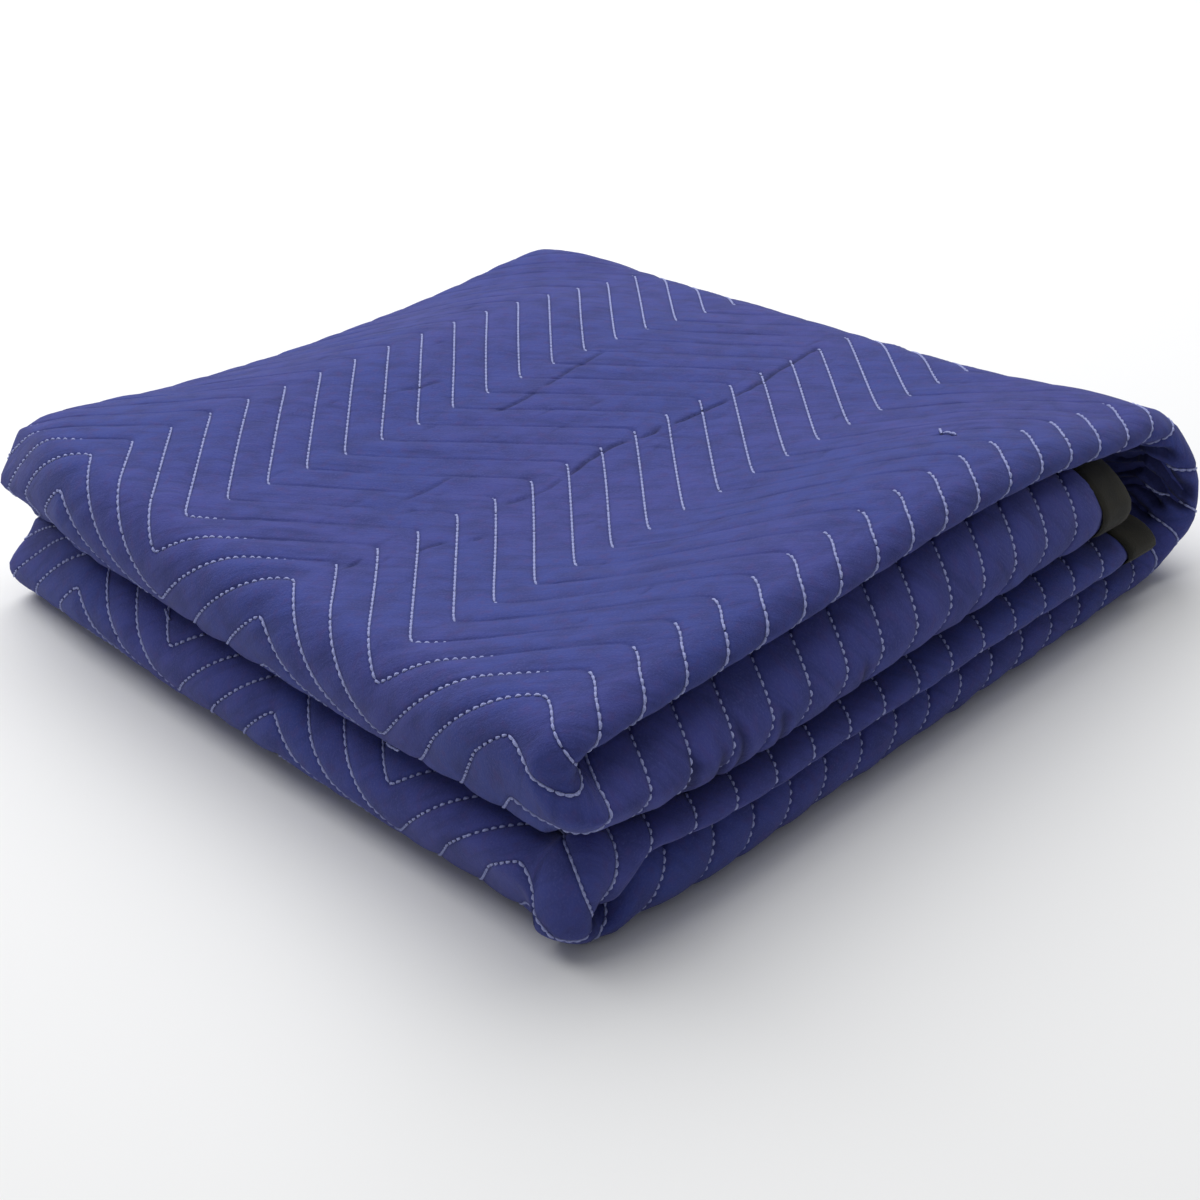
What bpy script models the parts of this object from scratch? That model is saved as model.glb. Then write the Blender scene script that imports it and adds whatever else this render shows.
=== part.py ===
"""A quilted moving blanket, folded into a stack for the shelf.

The cloth is one rectangle with a black tape bound over its four edges. It is folded in half
twice across its length, which makes a strip four plies thick. Both ends of the strip are then
folded to the middle, and the strip is folded in half over them. The stack has four layers of
the strip, sixteen plies in all.

Frame: +Z up, origin under the middle of the stack, X along the strip, and the strip's closed
folds face -Y. The strip's two tight turns are at -X and its one wide turn is at +X.
"""

import math

import bmesh
import bpy
from mathutils import Vector
from mathutils.geometry import delaunay_2d_cdt

# The cloth and its quilting, in metres.
PLY = 0.0048            # thickness of the quilted cloth between its stitched rows
PLY_STEP = 0.0063       # from one ply's middle to the next in the stack
ROW_STEP = 0.026        # from one stitched row to the next
ZIGZAG_RUN = 0.0931     # half a zigzag, measured along the row
ZIGZAG_REACH = 0.0773   # from a zigzag's one point to its other, measured across the rows
ROW_DEPTH = 0.0022      # how far a stitched row pulls the face in
ROW_PHASE = -0.0027     # X of one row's points, measured from the stack's middle

# The folded stack, in metres.
STACK_LENGTH = 0.494    # along X, over the turns before they are pressed in
TURN_ROOM = 0.009       # how far the tight turns stay inside that
LOWER_REACH = 0.004     # how far the lower tight turn runs out past the upper one
STACK_WIDTH = 0.512     # along Y, over the folds
NOSE_BULGE = 0.020      # how far a front fold runs out past its straight plies
INNER_BULGE = 0.004     # and the fold inside it
EDGE_INSET = 0.006      # the outer free edge, inside the back fold's face
EDGE_STAGGER = 0.009    # the inner free edge, inside the outer one
UPPER_FLAP_END = 0.171  # X of the upper flap's cut end
LOWER_FLAP_END = 0.194  # X of the lower flap's cut end

# The tape bound over the edges, in metres.
TAPE_WIDTH = 0.025      # what shows of it on each face
TAPE = 0.0010           # its thickness
TAPE_GAP = 0.0004       # between the tape and the cloth
BOUND_PLY = 0.0028      # the cloth's thickness where the tape grips it
BOUND_RAMP = 0.006      # the length over which the cloth thins to that

LAYER = 4 * PLY_STEP
HALF_PLY = PLY / 2
UNDER_STACK = (PLY_STEP - PLY) / 2
FACE_OUT = 1.5 * PLY_STEP + HALF_PLY
TIGHT_TURN = LAYER / 2
WIDE_TURN = 1.5 * LAYER
LEFT_X = LAYER + TURN_ROOM - STACK_LENGTH / 2
RIGHT_X = STACK_LENGTH / 2 - 2 * LAYER
FRONT_Y = NOSE_BULGE - STACK_WIDTH / 2
BACK_TURN = 0.5 * PLY_STEP
BACK_Y = STACK_WIDTH / 2 - BACK_TURN - HALF_PLY
INNER_FRONT_Y = FRONT_Y - INNER_BULGE
OUTER_EDGE_Y = STACK_WIDTH / 2 - EDGE_INSET
INNER_EDGE_Y = OUTER_EDGE_Y - EDGE_STAGGER

# Y of the zigzags' points, from the back. The plies also bend at most of these lines.
POINT_LINES = tuple(0.1625 - ZIGZAG_RUN * count for count in range(5))

# Height of the whole stack along lines in Y, from the back fold to the front one.
# Columns: Y, then the height at each of X_LINES.
X_LINES = (LEFT_X, -0.104, 0.114, RIGHT_X)
STACK_HEIGHTS = (
    (BACK_Y, 0.107, 0.095, 0.091, 0.084),
    (POINT_LINES[0], 0.120, 0.110, 0.101, 0.093),
    (POINT_LINES[1], 0.113, 0.108, 0.099, 0.093),
    (POINT_LINES[3], 0.113, 0.108, 0.103, 0.097),
    (POINT_LINES[4], 0.124, 0.124, 0.120, 0.107),
)
MID_FRONT_LEG = (POINT_LINES[3] + POINT_LINES[4]) / 2
BEND_LINES = tuple(row[0] for row in STACK_HEIGHTS[1:]) + (MID_FRONT_LEG,)

# How far past the outer lines the heights go on sloping, in shares of the stretch beside
# them: past LEFT_X, past RIGHT_X, and towards the back fold.
PAST_LEFT = 0.1
PAST_RIGHT = 1.3
PAST_BACK = 0.2

# Share of that height under each layer's top, bottom layer first: even over most of the
# stack, and at the front folds one row for each of X_LINES. CORNER_LIFT adds to them at the
# front end of the tight turns, where the two lower layers are pushed up.
EVEN_SHARES = (0.25, 0.5, 0.75, 1.0)
FRONT_SHARES = (
    (0.305, 0.438, 0.815, 1.0),
    (0.29, 0.435, 0.815, 1.0),
    (0.237, 0.437, 0.84, 1.0),
    (0.228, 0.47, 0.83, 1.0),
)
CORNER_LIFT = (0.075, 0.08, 0.0, 0.0)

# How far each layer's front fold stays back from the widest one, bottom layer first.
FRONT_SETBACK = (0.007, 0.0, 0.003, 0.015)

# How far the corners at the back draw in along X, at the floor and at the top.
BACK_PULL = (0.002, 0.010)

# Level, counted in layers, by which the lower tight turn's extra reach has run out.
REACH_LEVEL = 2.5

# Shares of its reach that a tight turn loses: at the back, beside the slit between the two
# turns and over the upper one; under the lower one; and over all of that towards the front.
NOTCH_TRIM = 0.75
NOTCH_SPREAD = 0.6      # levels either side of the slit
SHOULDER_TRIM = 0.45
UNDER_TRIM = 0.35
FRONT_TRIM = 0.25

# How far the lowest layers are pushed back at the corner of a tight turn and a front fold.
CORNER_BACK = 0.010

# Share of their swing that the rows lose where a front fold is pushed back.
FRONT_HOLD = 0.45


def lerp(start, end, share):
    return start + (end - start) * share


def clamped(value, low=0.0, high=1.0):
    return max(low, min(high, value))


def eased(value):
    value = clamped(value)
    return value * value * (3 - 2 * value)


# ---- The strip's mid-line, seen from the side: straight runs and half turns, in X and Z ----

def strip_spans():
    """Rows of (x, z, heading, turn radius or 0, length along the outer face)."""
    tight = math.pi * (TIGHT_TURN + FACE_OUT)
    wide = math.pi * (WIDE_TURN + FACE_OUT)
    run = RIGHT_X - LEFT_X
    half_turn = math.pi
    heights = [(layer + 0.5) * LAYER for layer in range(4)]
    return (
        (LOWER_FLAP_END, heights[1], half_turn, 0.0, LOWER_FLAP_END - LEFT_X),
        (LEFT_X, heights[1], half_turn, TIGHT_TURN, tight),
        (LEFT_X, heights[0], 2 * half_turn, 0.0, run),
        (RIGHT_X, heights[0], 2 * half_turn, WIDE_TURN, wide),
        (RIGHT_X, heights[3], 3 * half_turn, 0.0, run),
        (LEFT_X, heights[3], 3 * half_turn, TIGHT_TURN, tight),
        (LEFT_X, heights[2], 4 * half_turn, 0.0, UPPER_FLAP_END - LEFT_X),
    )


SPANS = strip_spans()
SPAN_STARTS = [sum(row[4] for row in SPANS[:count]) for count in range(len(SPANS) + 1)]
STRIP = SPAN_STARTS[-1]
TOP_RUN = 4


def span_at(along):
    for index in range(len(SPANS) - 1, 0, -1):
        if along >= SPAN_STARTS[index]:
            return index
    return 0


def mid_line(along):
    """The strip's middle at a length along its outer face, and the way out from there."""
    index = span_at(along)
    x, z, heading, radius, _ = SPANS[index]
    length = along - SPAN_STARTS[index]
    if not radius:
        middle = (x + length * math.cos(heading), z + length * math.sin(heading))
        return middle, (math.sin(heading), -math.cos(heading))
    now = heading + length / (radius + FACE_OUT)
    centre = (x - radius * math.sin(heading), z + radius * math.cos(heading))
    out = (math.sin(now), -math.cos(now))
    return (centre[0] + radius * out[0], centre[1] + radius * out[1]), out


# ---- The strip's own section: one sheet folded in half twice, in Y and across the plies ----

FRONT_TURN = (FRONT_Y, 0.0, NOSE_BULGE - HALF_PLY, 1.5 * PLY_STEP)
INNER_TURN = (INNER_FRONT_Y, 0.0, 0.5 * PLY_STEP, 0.5 * PLY_STEP)
BACK_FOLD = (BACK_Y, PLY_STEP, BACK_TURN, BACK_TURN)

# The section's outline, all the way round the sheet. A flat runs from one Y to another on a
# ply (its place in steps) and a face (1 on top of it, -1 under it). A turn runs round a
# centre from one angle to another, on its outside (1) or its inside (-1).
# Columns: name, kind, place, from, to, face.
OUTLINE = (
    ("ply 1 under", "flat", -1.5, OUTER_EDGE_Y, FRONT_Y, -1),
    ("front fold", "turn", FRONT_TURN, -90, -270, 1),
    ("ply 4 top", "flat", 1.5, FRONT_Y, BACK_Y, 1),
    ("back fold", "turn", BACK_FOLD, 90, -90, 1),
    ("ply 3 under", "flat", 0.5, BACK_Y, INNER_FRONT_Y, -1),
    ("inner fold inside", "turn", INNER_TURN, 90, 270, -1),
    ("ply 2 top", "flat", -0.5, INNER_FRONT_Y, INNER_EDGE_Y, 1),
    ("ply 2 under", "flat", -0.5, INNER_EDGE_Y, INNER_FRONT_Y, -1),
    ("inner fold", "turn", INNER_TURN, -90, -270, 1),
    ("ply 3 top", "flat", 0.5, INNER_FRONT_Y, BACK_Y, 1),
    ("back fold inside", "turn", BACK_FOLD, -90, 90, -1),
    ("ply 4 under", "flat", 1.5, BACK_Y, FRONT_Y, -1),
    ("front fold inside", "turn", FRONT_TURN, 90, 270, -1),
    ("ply 1 top", "flat", -1.5, FRONT_Y, OUTER_EDGE_Y, 1),
)


def piece_length(row):
    _, kind, place, start, end, face = row
    if kind == "flat":
        return abs(end - start)
    return math.pi * ((place[2] + place[3]) / 2 + face * HALF_PLY)


# The two free edges add a ply's thickness each, after "ply 2 top" and after "ply 1 top".
EDGE_AFTER = (6, 13)
ROUND_STARTS = []
ROUND = 0.0
for index, row in enumerate(OUTLINE):
    ROUND_STARTS.append(ROUND)
    ROUND += piece_length(row)
    if index in EDGE_AFTER:
        ROUND += PLY

TOP_START = ROUND_STARTS[2]


def piece_at(around):
    for index in range(len(OUTLINE) - 1, 0, -1):
        if around >= ROUND_STARTS[index] - 1e-9:
            return index
    return 0


def half_thickness(along, y, bound_edge_y):
    """Half the cloth's thickness, thinner where the tape grips an edge."""
    to_end = min(along, STRIP - along)
    to_side = bound_edge_y - y
    inside = min(to_end, to_side) - TAPE_WIDTH
    return lerp(BOUND_PLY / 2, HALF_PLY, clamped(inside / BOUND_RAMP))


def section_point(along, around, pulled_in=0.0):
    """(y, offset from the strip's middle) of a point on the outline."""
    index = piece_at(around)
    _, kind, place, start, end, face = OUTLINE[index]
    share = clamped((around - ROUND_STARTS[index]) / piece_length(OUTLINE[index]))
    if kind == "flat":
        y = lerp(start, end, share)
        edge = {-1.5: OUTER_EDGE_Y, -0.5: INNER_EDGE_Y}.get(place, 1.0)
        half = half_thickness(along, y, edge)
        return y, place * PLY_STEP + face * (half - pulled_in)
    centre_y, centre_n, reach_y, reach_n = place
    angle = math.radians(lerp(start, end, share))
    half = half_thickness(along, centre_y, 1.0)
    reach = face * (half - pulled_in)
    y = centre_y + (reach_y + reach) * math.cos(angle)
    return y, centre_n + (reach_n + reach) * math.sin(angle)


# ---- How the plain stack settles into the real one ----

def between_lines(value, lines):
    """Which stretch between falling or rising lines holds a value, and how far along it."""
    rising = lines[-1] > lines[0]
    for index, (start, end) in enumerate(zip(lines, lines[1:])):
        if index == len(lines) - 2 or (value < end if rising else value > end):
            return index, (value - start) / (end - start)


def stack_height(x, y):
    """The stack's real height over a place on the floor."""
    across, x_share = between_lines(x, X_LINES)
    row, y_share = between_lines(y, [line[0] for line in STACK_HEIGHTS])
    near, far = (
        lerp(line[1 + across], line[2 + across], clamped(x_share, -PAST_LEFT, PAST_RIGHT))
        for line in STACK_HEIGHTS[row:row + 2]
    )
    return lerp(near, far, clamped(y_share, -PAST_BACK))


def layer_share(level, x, front, corner):
    """Share of the height under a level that runs from 0 at the floor to 4 at the top."""
    across, x_share = between_lines(x, X_LINES)
    layer = min(int(level), 3)
    share = []
    for shares in (EVEN_SHARES, FRONT_SHARES[across], FRONT_SHARES[across + 1], CORNER_LIFT):
        stops = (0.0,) + shares
        share.append(lerp(stops[layer], stops[layer + 1], level - layer))
    return lerp(share[0], lerp(share[1], share[2], clamped(x_share)), front) + corner * share[3]


def turn_trim(y, level, at_back):
    """Share of its reach that a tight turn loses at a place on it."""
    beside_slit = math.exp(-(((level - 2) / NOTCH_SPREAD) ** 2))
    back = NOTCH_TRIM * beside_slit + SHOULDER_TRIM * clamped(level - 3)
    to_front = clamped((POINT_LINES[1] - y) / (POINT_LINES[1] - POINT_LINES[4]))
    under = UNDER_TRIM * clamped(1 - level)
    return back * at_back + under + FRONT_TRIM * to_front * clamped(2 - level)


def settled(x, y, z):
    """The plain stack's point where the cloth really lies."""
    level = 4 * clamped((z - UNDER_STACK) / (4 * LAYER - 2 * UNDER_STACK))
    front = clamped((POINT_LINES[3] - y) / ZIGZAG_RUN)
    at_front = clamped((POINT_LINES[4] - y) / (POINT_LINES[4] - FRONT_Y))
    corner = at_front * clamped((X_LINES[1] - x) / (X_LINES[1] - X_LINES[0])) ** 2
    height = stack_height(x, y) * layer_share(level, x, front, corner)

    step = clamped(level - 0.5, 0.0, 3.0)
    layer = min(int(step), 2)
    setback = lerp(FRONT_SETBACK[layer], FRONT_SETBACK[layer + 1], step - layer)
    into_fold = eased((POINT_LINES[4] - y) / (POINT_LINES[4] - FRONT_Y + NOSE_BULGE))
    back = setback * into_fold + CORNER_BACK * corner**2 * clamped(REACH_LEVEL - level)

    at_back = clamped((y - POINT_LINES[0]) / (BACK_Y - POINT_LINES[0]))
    pull = lerp(*BACK_PULL, level / 4) * at_back * abs(2 * x / STACK_LENGTH) ** 3
    outside = max(0.0, LEFT_X - x)
    reach = LOWER_REACH * clamped(outside / LAYER) * clamped(REACH_LEVEL - level)
    inwards = outside * turn_trim(y, level, at_back) - reach
    return Vector((x - math.copysign(pull, x) + inwards, y + back, height))


def place_point(along, y, offset):
    """Where a point of the strip's section lies, at a length along the strip."""
    (x, z), out = mid_line(along)
    return settled(x + offset * out[0], y, z + offset * out[1])


# ---- The quilting: zigzag rows that pull the outer face in ----

FRONT_SHOWN = 0.012     # how far past a front fold the rows still show
TURN_MARGIN = 0.010     # how far past a turn the cloth still follows it
FLOOR_FADE = 0.006      # the height over which a row fades out near the floor
ROW_END = 0.004         # rows stop this far short of where the cloth thins for the tape

ROWS_FROM = ROUND_STARTS[1] - FRONT_SHOWN
ROWS_TO = ROUND_STARTS[4]
HIDDEN_FROM = TOP_START + FRONT_SHOWN
OPEN_SPANS = (1, 3, 4, 5)
FIRST_ROW = (SPAN_STARTS[TOP_RUN] + RIGHT_X - ROW_PHASE) % ROW_STEP


def zigzag(around):
    """How far a row is swung across, at a place round the section."""
    legs = (around - TOP_START + FRONT_Y - POINT_LINES[0]) / ZIGZAG_RUN
    swing = min(abs(legs) % 2, 2 - abs(legs) % 2)
    held = clamped(-4 - legs) if legs > -5 else 1.0
    return ZIGZAG_REACH * (swing - FRONT_HOLD * held)


def open_to_view(along):
    """Whether the outer ply's face shows here: on the top run and on the three turns."""
    return any(
        SPAN_STARTS[span] - TURN_MARGIN <= along <= SPAN_STARTS[span + 1] + TURN_MARGIN
        for span in OPEN_SPANS
    )


def row_depth(along, around):
    """Full on a row, nothing halfway between two, and nothing where the face is hidden."""
    rows = (along - FIRST_ROW - zigzag(around)) / ROW_STEP
    depth = ROW_DEPTH * (1 - 2 * abs(rows - round(rows)))
    depth *= clamped((min(along, STRIP - along) - TAPE_WIDTH - BOUND_RAMP) / ROW_STEP)
    depth *= clamped((around - ROWS_FROM) / FRONT_SHOWN)
    depth *= clamped(2 * (ROWS_TO - around) / (ROWS_TO - ROUND_STARTS[3]))
    if not open_to_view(along):
        depth *= clamped((HIDDEN_FROM - around) / FRONT_SHOWN)
    (_, z), out = mid_line(along)
    _, offset = section_point(along, around)
    return depth * clamped((z + offset * out[1]) / FLOOR_FADE - 0.5)


# ---- The cloth's mesh: laid out flat as (along, around), joined up there, then folded ----

TURN_STEPS = {TIGHT_TURN: 6, WIDE_TURN: 9}
RUN_STEPS = (1, 2, 2)   # from each of X_LINES to the next
LEG_STEPS = 5           # points along each leg of a zigzag, near the turns
SLANT = 0.002           # how far the points lean, so that facing plies split alike
TURN_COLUMNS = {
    "front fold": 6,
    "front fold inside": 6,
    "back fold": 4,
    "back fold inside": 4,
    "inner fold": 3,
    "inner fold inside": 3,
}


def even_stops(start, end, steps):
    return [lerp(start, end, step / steps) for step in range(steps)]


def coarse_alongs():
    """Lengths along the strip at which every face has points."""
    grip = TAPE_WIDTH + BOUND_RAMP
    run_stops = [
        x
        for start, end, steps in zip(X_LINES, X_LINES[1:], RUN_STEPS)
        for x in even_stops(start, end, steps)
    ]
    stops = [0.0, TAPE_WIDTH, grip, STRIP - grip, STRIP - TAPE_WIDTH, STRIP]
    for index, (x, _, heading, radius, _) in enumerate(SPANS):
        start = SPAN_STARTS[index]
        if radius:
            stops += even_stops(start, SPAN_STARTS[index + 1], TURN_STEPS[radius])
            stops.append(SPAN_STARTS[index + 1])
        else:
            found = [start + (stop - x) * math.cos(heading) for stop in run_stops[1:]]
            stops += [along for along in found if grip < along < STRIP - grip]
    return sorted(set(stops))


def flat_stops(row):
    """Y of the points along one flat, the tape's lip and the thinning under it among them."""
    _, _, place, start, end, _ = row
    lines = [start] + [y for y in BEND_LINES if min(start, end) < y < max(start, end)]
    edge = {-1.5: OUTER_EDGE_Y, -0.5: INNER_EDGE_Y}.get(place)
    if edge:
        lines += [edge - TAPE_WIDTH, edge - TAPE_WIDTH - BOUND_RAMP]
    return lines


def coarse_arounds(pieces):
    """Lengths round the section at which every face has points."""
    stops = []
    for index in pieces:
        name, kind, _, start, _, _ = row = OUTLINE[index]
        first = ROUND_STARTS[index]
        if kind == "flat":
            stops += [first + abs(y - start) for y in flat_stops(row)]
        else:
            stops += even_stops(first, first + piece_length(row), TURN_COLUMNS[name])
        if index in EDGE_AFTER or index == pieces[-1]:
            stops.append(first + piece_length(row))
    return sorted(stops)


ALL_PIECES = range(len(OUTLINE))
ALONGS = coarse_alongs()
AROUNDS = coarse_arounds(ALL_PIECES) + [ROUND]


class FlatLayout:
    """Points and joining lines on the cloth's flat layout, in metres."""

    def __init__(self):
        self.points = []
        self.lines = []
        self.known = {}

    def point(self, along, around):
        key = (round(along, 6), round(around, 6))
        if key not in self.known:
            self.known[key] = len(self.points)
            self.points.append(Vector(key))
        return self.known[key]

    def line(self, places):
        marks = [self.point(*place) for place in places]
        self.lines += [pair for pair in zip(marks, marks[1:]) if pair[0] != pair[1]]

    def column(self, around):
        """Joins every point at one place round the section."""
        alongs = sorted(point.x for point in self.points if abs(point.y - around) < 1e-6)
        self.line([(along, around) for along in alongs])


def row_stops():
    """Places round the section where a row may need a point, and whether it always does."""
    always = {ROWS_FROM, ROWS_TO, TOP_START, ROUND_STARTS[3], HIDDEN_FROM}
    for name, piece in (("front fold", 1), ("back fold", 3)):
        always |= set(even_stops(ROUND_STARTS[piece], ROUND_STARTS[piece + 1], TURN_COLUMNS[name]))
    always |= {TOP_START + y - FRONT_Y for y in POINT_LINES + (MID_FRONT_LEG,)}
    first = TOP_START + POINT_LINES[0] - FRONT_Y
    legs = [first + ZIGZAG_RUN * step / LEG_STEPS for step in range(-5 * LEG_STEPS, LEG_STEPS)]
    close = ZIGZAG_RUN / LEG_STEPS / 3
    extra = {
        stop
        for stop in legs
        if TOP_START < stop < ROUND_STARTS[3] and min(abs(stop - other) for other in always) > close
    }
    return sorted((stop, stop in always) for stop in always | extra)


def near_a_turn(along):
    return any(
        SPAN_STARTS[index] - 2 * TURN_MARGIN <= along <= SPAN_STARTS[index + 1] + 2 * TURN_MARGIN
        for index, row in enumerate(SPANS)
        if row[3]
    )


def add_rows(layout):
    """Every row and every crest between two rows, from the front fold to the back one."""
    grip = TAPE_WIDTH + BOUND_RAMP + ROW_END
    stops = row_stops()
    for count in range(-8, int(2 * STRIP / ROW_STEP)):
        start = FIRST_ROW + count * ROW_STEP / 2
        stretch = []
        for around, always in stops:
            along = start + zigzag(around)
            inside = grip < along < STRIP - grip
            seen = around <= HIDDEN_FROM or open_to_view(along)
            if not (inside and seen):
                layout.line(stretch)
                stretch = []
            elif always or near_a_turn(along):
                stretch.append((along, around))
        layout.line(stretch)


def cloth_layout():
    layout = FlatLayout()
    before = [around for around in AROUNDS if around <= ROWS_FROM] + [ROWS_FROM]
    after = [around for around in AROUNDS if around >= ROWS_TO]
    between = [around for around in AROUNDS if HIDDEN_FROM < around < ROWS_TO]
    for along in ALONGS:
        layout.line([(along, around) for around in before])
        layout.line([(along, around) for around in after])
        if min(along, STRIP - along) <= TAPE_WIDTH + BOUND_RAMP:
            layout.line([(along, around) for around in AROUNDS])
        elif not open_to_view(along):
            layout.line([(along, around) for around in [HIDDEN_FROM] + between])
    for span in OPEN_SPANS:
        for along in (SPAN_STARTS[span] - TURN_MARGIN, SPAN_STARTS[span + 1] + TURN_MARGIN):
            if not (open_to_view(along - TURN_MARGIN) and open_to_view(along + TURN_MARGIN)):
                layout.line([(along, around) for around in [HIDDEN_FROM] + between + [ROWS_TO]])
    add_rows(layout)
    for around in (0.0, ROWS_FROM, HIDDEN_FROM, ROWS_TO, ROUND):
        layout.column(around)
    return layout


def leaning(point):
    """The point moved a hair, so that facing plies split their faces on the same slant."""
    along, around = point
    y, _ = section_point(along, around)
    slant = SLANT * math.cos(SPANS[span_at(along)][2])
    return Vector((along + slant * y * (0 < along < STRIP), around))


def folded_cloth():
    """Vertices and faces of the folded cloth."""
    layout = cloth_layout()
    leant = [leaning(point) for point in layout.points]
    points, _, triangles, sources, _, _ = delaunay_2d_cdt(leant, layout.lines, [], 0, 1e-7)
    places = []
    vertices = []
    index_of = {}
    for point, source in zip(points, sources):
        along, around = layout.points[source[0]] if source else point
        key = (round(along, 6), round(around % (ROUND - 1e-7), 6))
        if key not in index_of:
            index_of[key] = len(vertices)
            y, offset = section_point(along, key[1], row_depth(along, key[1]))
            vertices.append(place_point(along, y, offset))
        places.append(index_of[key])
    faces = [tuple(places[corner] for corner in triangle) for triangle in triangles]
    for end in (0.0, STRIP):
        rim = sorted((key[1], mark) for key, mark in index_of.items() if abs(key[0] - end) < 2e-6)
        faces += [tuple(rim[corner][1] for corner in face) for face in cap_faces(end, rim)]
    return vertices, [face for face in faces if len(set(face)) == 3]


def cap_faces(end, rim):
    """Triangles that close the cloth's cut end, as places in its rim."""
    outline = [Vector(section_point(end, around)) for around, _ in rim]
    result = delaunay_2d_cdt(outline, [], [list(range(len(rim)))], 1, 1e-9)
    origin = [sources[0] for sources in result[3]]
    return [tuple(origin[corner] for corner in face) for face in result[2]]


# ---- The tape bound over the cloth's edges: a U swept along each edge ----

TAPE_INNER = BOUND_PLY / 2 + TAPE_GAP
TAPE_OUTER = TAPE_INNER + TAPE
CORNER_GAP = 0.001      # between a side's tape and the tapes over the ends

# Corners of the U that close one of its cut ends.
CUT_ENDS = ((0, 1, 2, 7), (7, 2, 3, 6), (6, 3, 4, 5))


def tape_corners(edge, outward):
    """The U's corners: place across the edge, and offset from the ply's middle."""
    lip = edge - outward * TAPE_WIDTH
    wall = edge + outward * TAPE_GAP
    back = wall + outward * TAPE
    over = ((lip, TAPE_INNER), (lip, TAPE_OUTER), (back, TAPE_OUTER))
    under = ((back, -TAPE_OUTER), (lip, -TAPE_OUTER), (lip, -TAPE_INNER))
    return over + under + ((wall, -TAPE_INNER), (wall, TAPE_INNER))


def swept(rings):
    """Vertices and faces of a body through equal rings of points."""
    corners = len(rings[0])
    faces = []
    for ring in range(len(rings) - 1):
        for corner in range(corners):
            one = ring * corners + corner
            two = ring * corners + (corner + 1) % corners
            faces += [(one, two, two + corners), (one, two + corners, one + corners)]
    last = (len(rings) - 1) * corners
    for first in (0, last):
        for a, b, c, d in CUT_ENDS:
            faces += [(first + a, first + b, first + c), (first + a, first + c, first + d)]
    return [point for ring in rings for point in ring], faces


def end_tape(end, outward):
    """Over one cut end of the strip, round all four of its plies."""
    rings = []
    for around in coarse_arounds(range(EDGE_AFTER[0] + 1)):
        ring = []
        for along, out in tape_corners(end, outward):
            y, offset = section_point(along, around, BOUND_PLY / 2 - out)
            ring.append(place_point(along, y, offset))
        rings.append(ring)
    return swept(rings)


def side_tape(ply, edge):
    """Over one long edge of the cloth, from end to end of the strip."""
    first = TAPE_WIDTH + CORNER_GAP
    between = [along for along in ALONGS if first < along < STRIP - first]
    rings = []
    for along in [first] + between + [STRIP - first]:
        corners = tape_corners(edge, 1)
        rings.append([place_point(along, y, ply * PLY_STEP + out) for y, out in corners])
    return swept(rings)


# ---- Objects and their materials ----

def cloth_material(name, colour, roughness):
    material = bpy.data.materials.new(name)
    material.use_nodes = True
    shader = material.node_tree.nodes["Principled BSDF"]
    shader.inputs["Base Color"].default_value = (*colour, 1.0)
    shader.inputs["Roughness"].default_value = roughness
    shader.inputs["Metallic"].default_value = 0.0
    return material


def add_object(name, vertices, faces, material):
    mesh = bpy.data.meshes.new(name)
    mesh.from_pydata(vertices, [], faces)
    work = bmesh.new()
    work.from_mesh(mesh)
    bmesh.ops.recalc_face_normals(work, faces=work.faces)
    work.to_mesh(mesh)
    work.free()
    mesh.materials.append(material)
    thing = bpy.data.objects.new(name, mesh)
    bpy.context.scene.collection.objects.link(thing)
    return thing


for old in list(bpy.data.objects):
    bpy.data.objects.remove(old)

QUILT_BLUE = cloth_material("quilt_blue", (0.065, 0.085, 0.33), 0.9)
BINDING_BLACK = cloth_material("binding_black", (0.012, 0.013, 0.010), 0.8)

add_object("quilted_cloth", *folded_cloth(), QUILT_BLUE)
add_object("binding_end_lower", *end_tape(0.0, -1), BINDING_BLACK)
add_object("binding_end_upper", *end_tape(STRIP, 1), BINDING_BLACK)
add_object("binding_side_outer", *side_tape(-1.5, OUTER_EDGE_Y), BINDING_BLACK)
add_object("binding_side_inner", *side_tape(-0.5, INNER_EDGE_Y), BINDING_BLACK)
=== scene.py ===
"""How the folded quilted moving blanket looks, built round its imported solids."""

import math

import bpy
import numpy as np
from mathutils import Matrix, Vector
from mathutils.geometry import delaunay_2d_cdt


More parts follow.
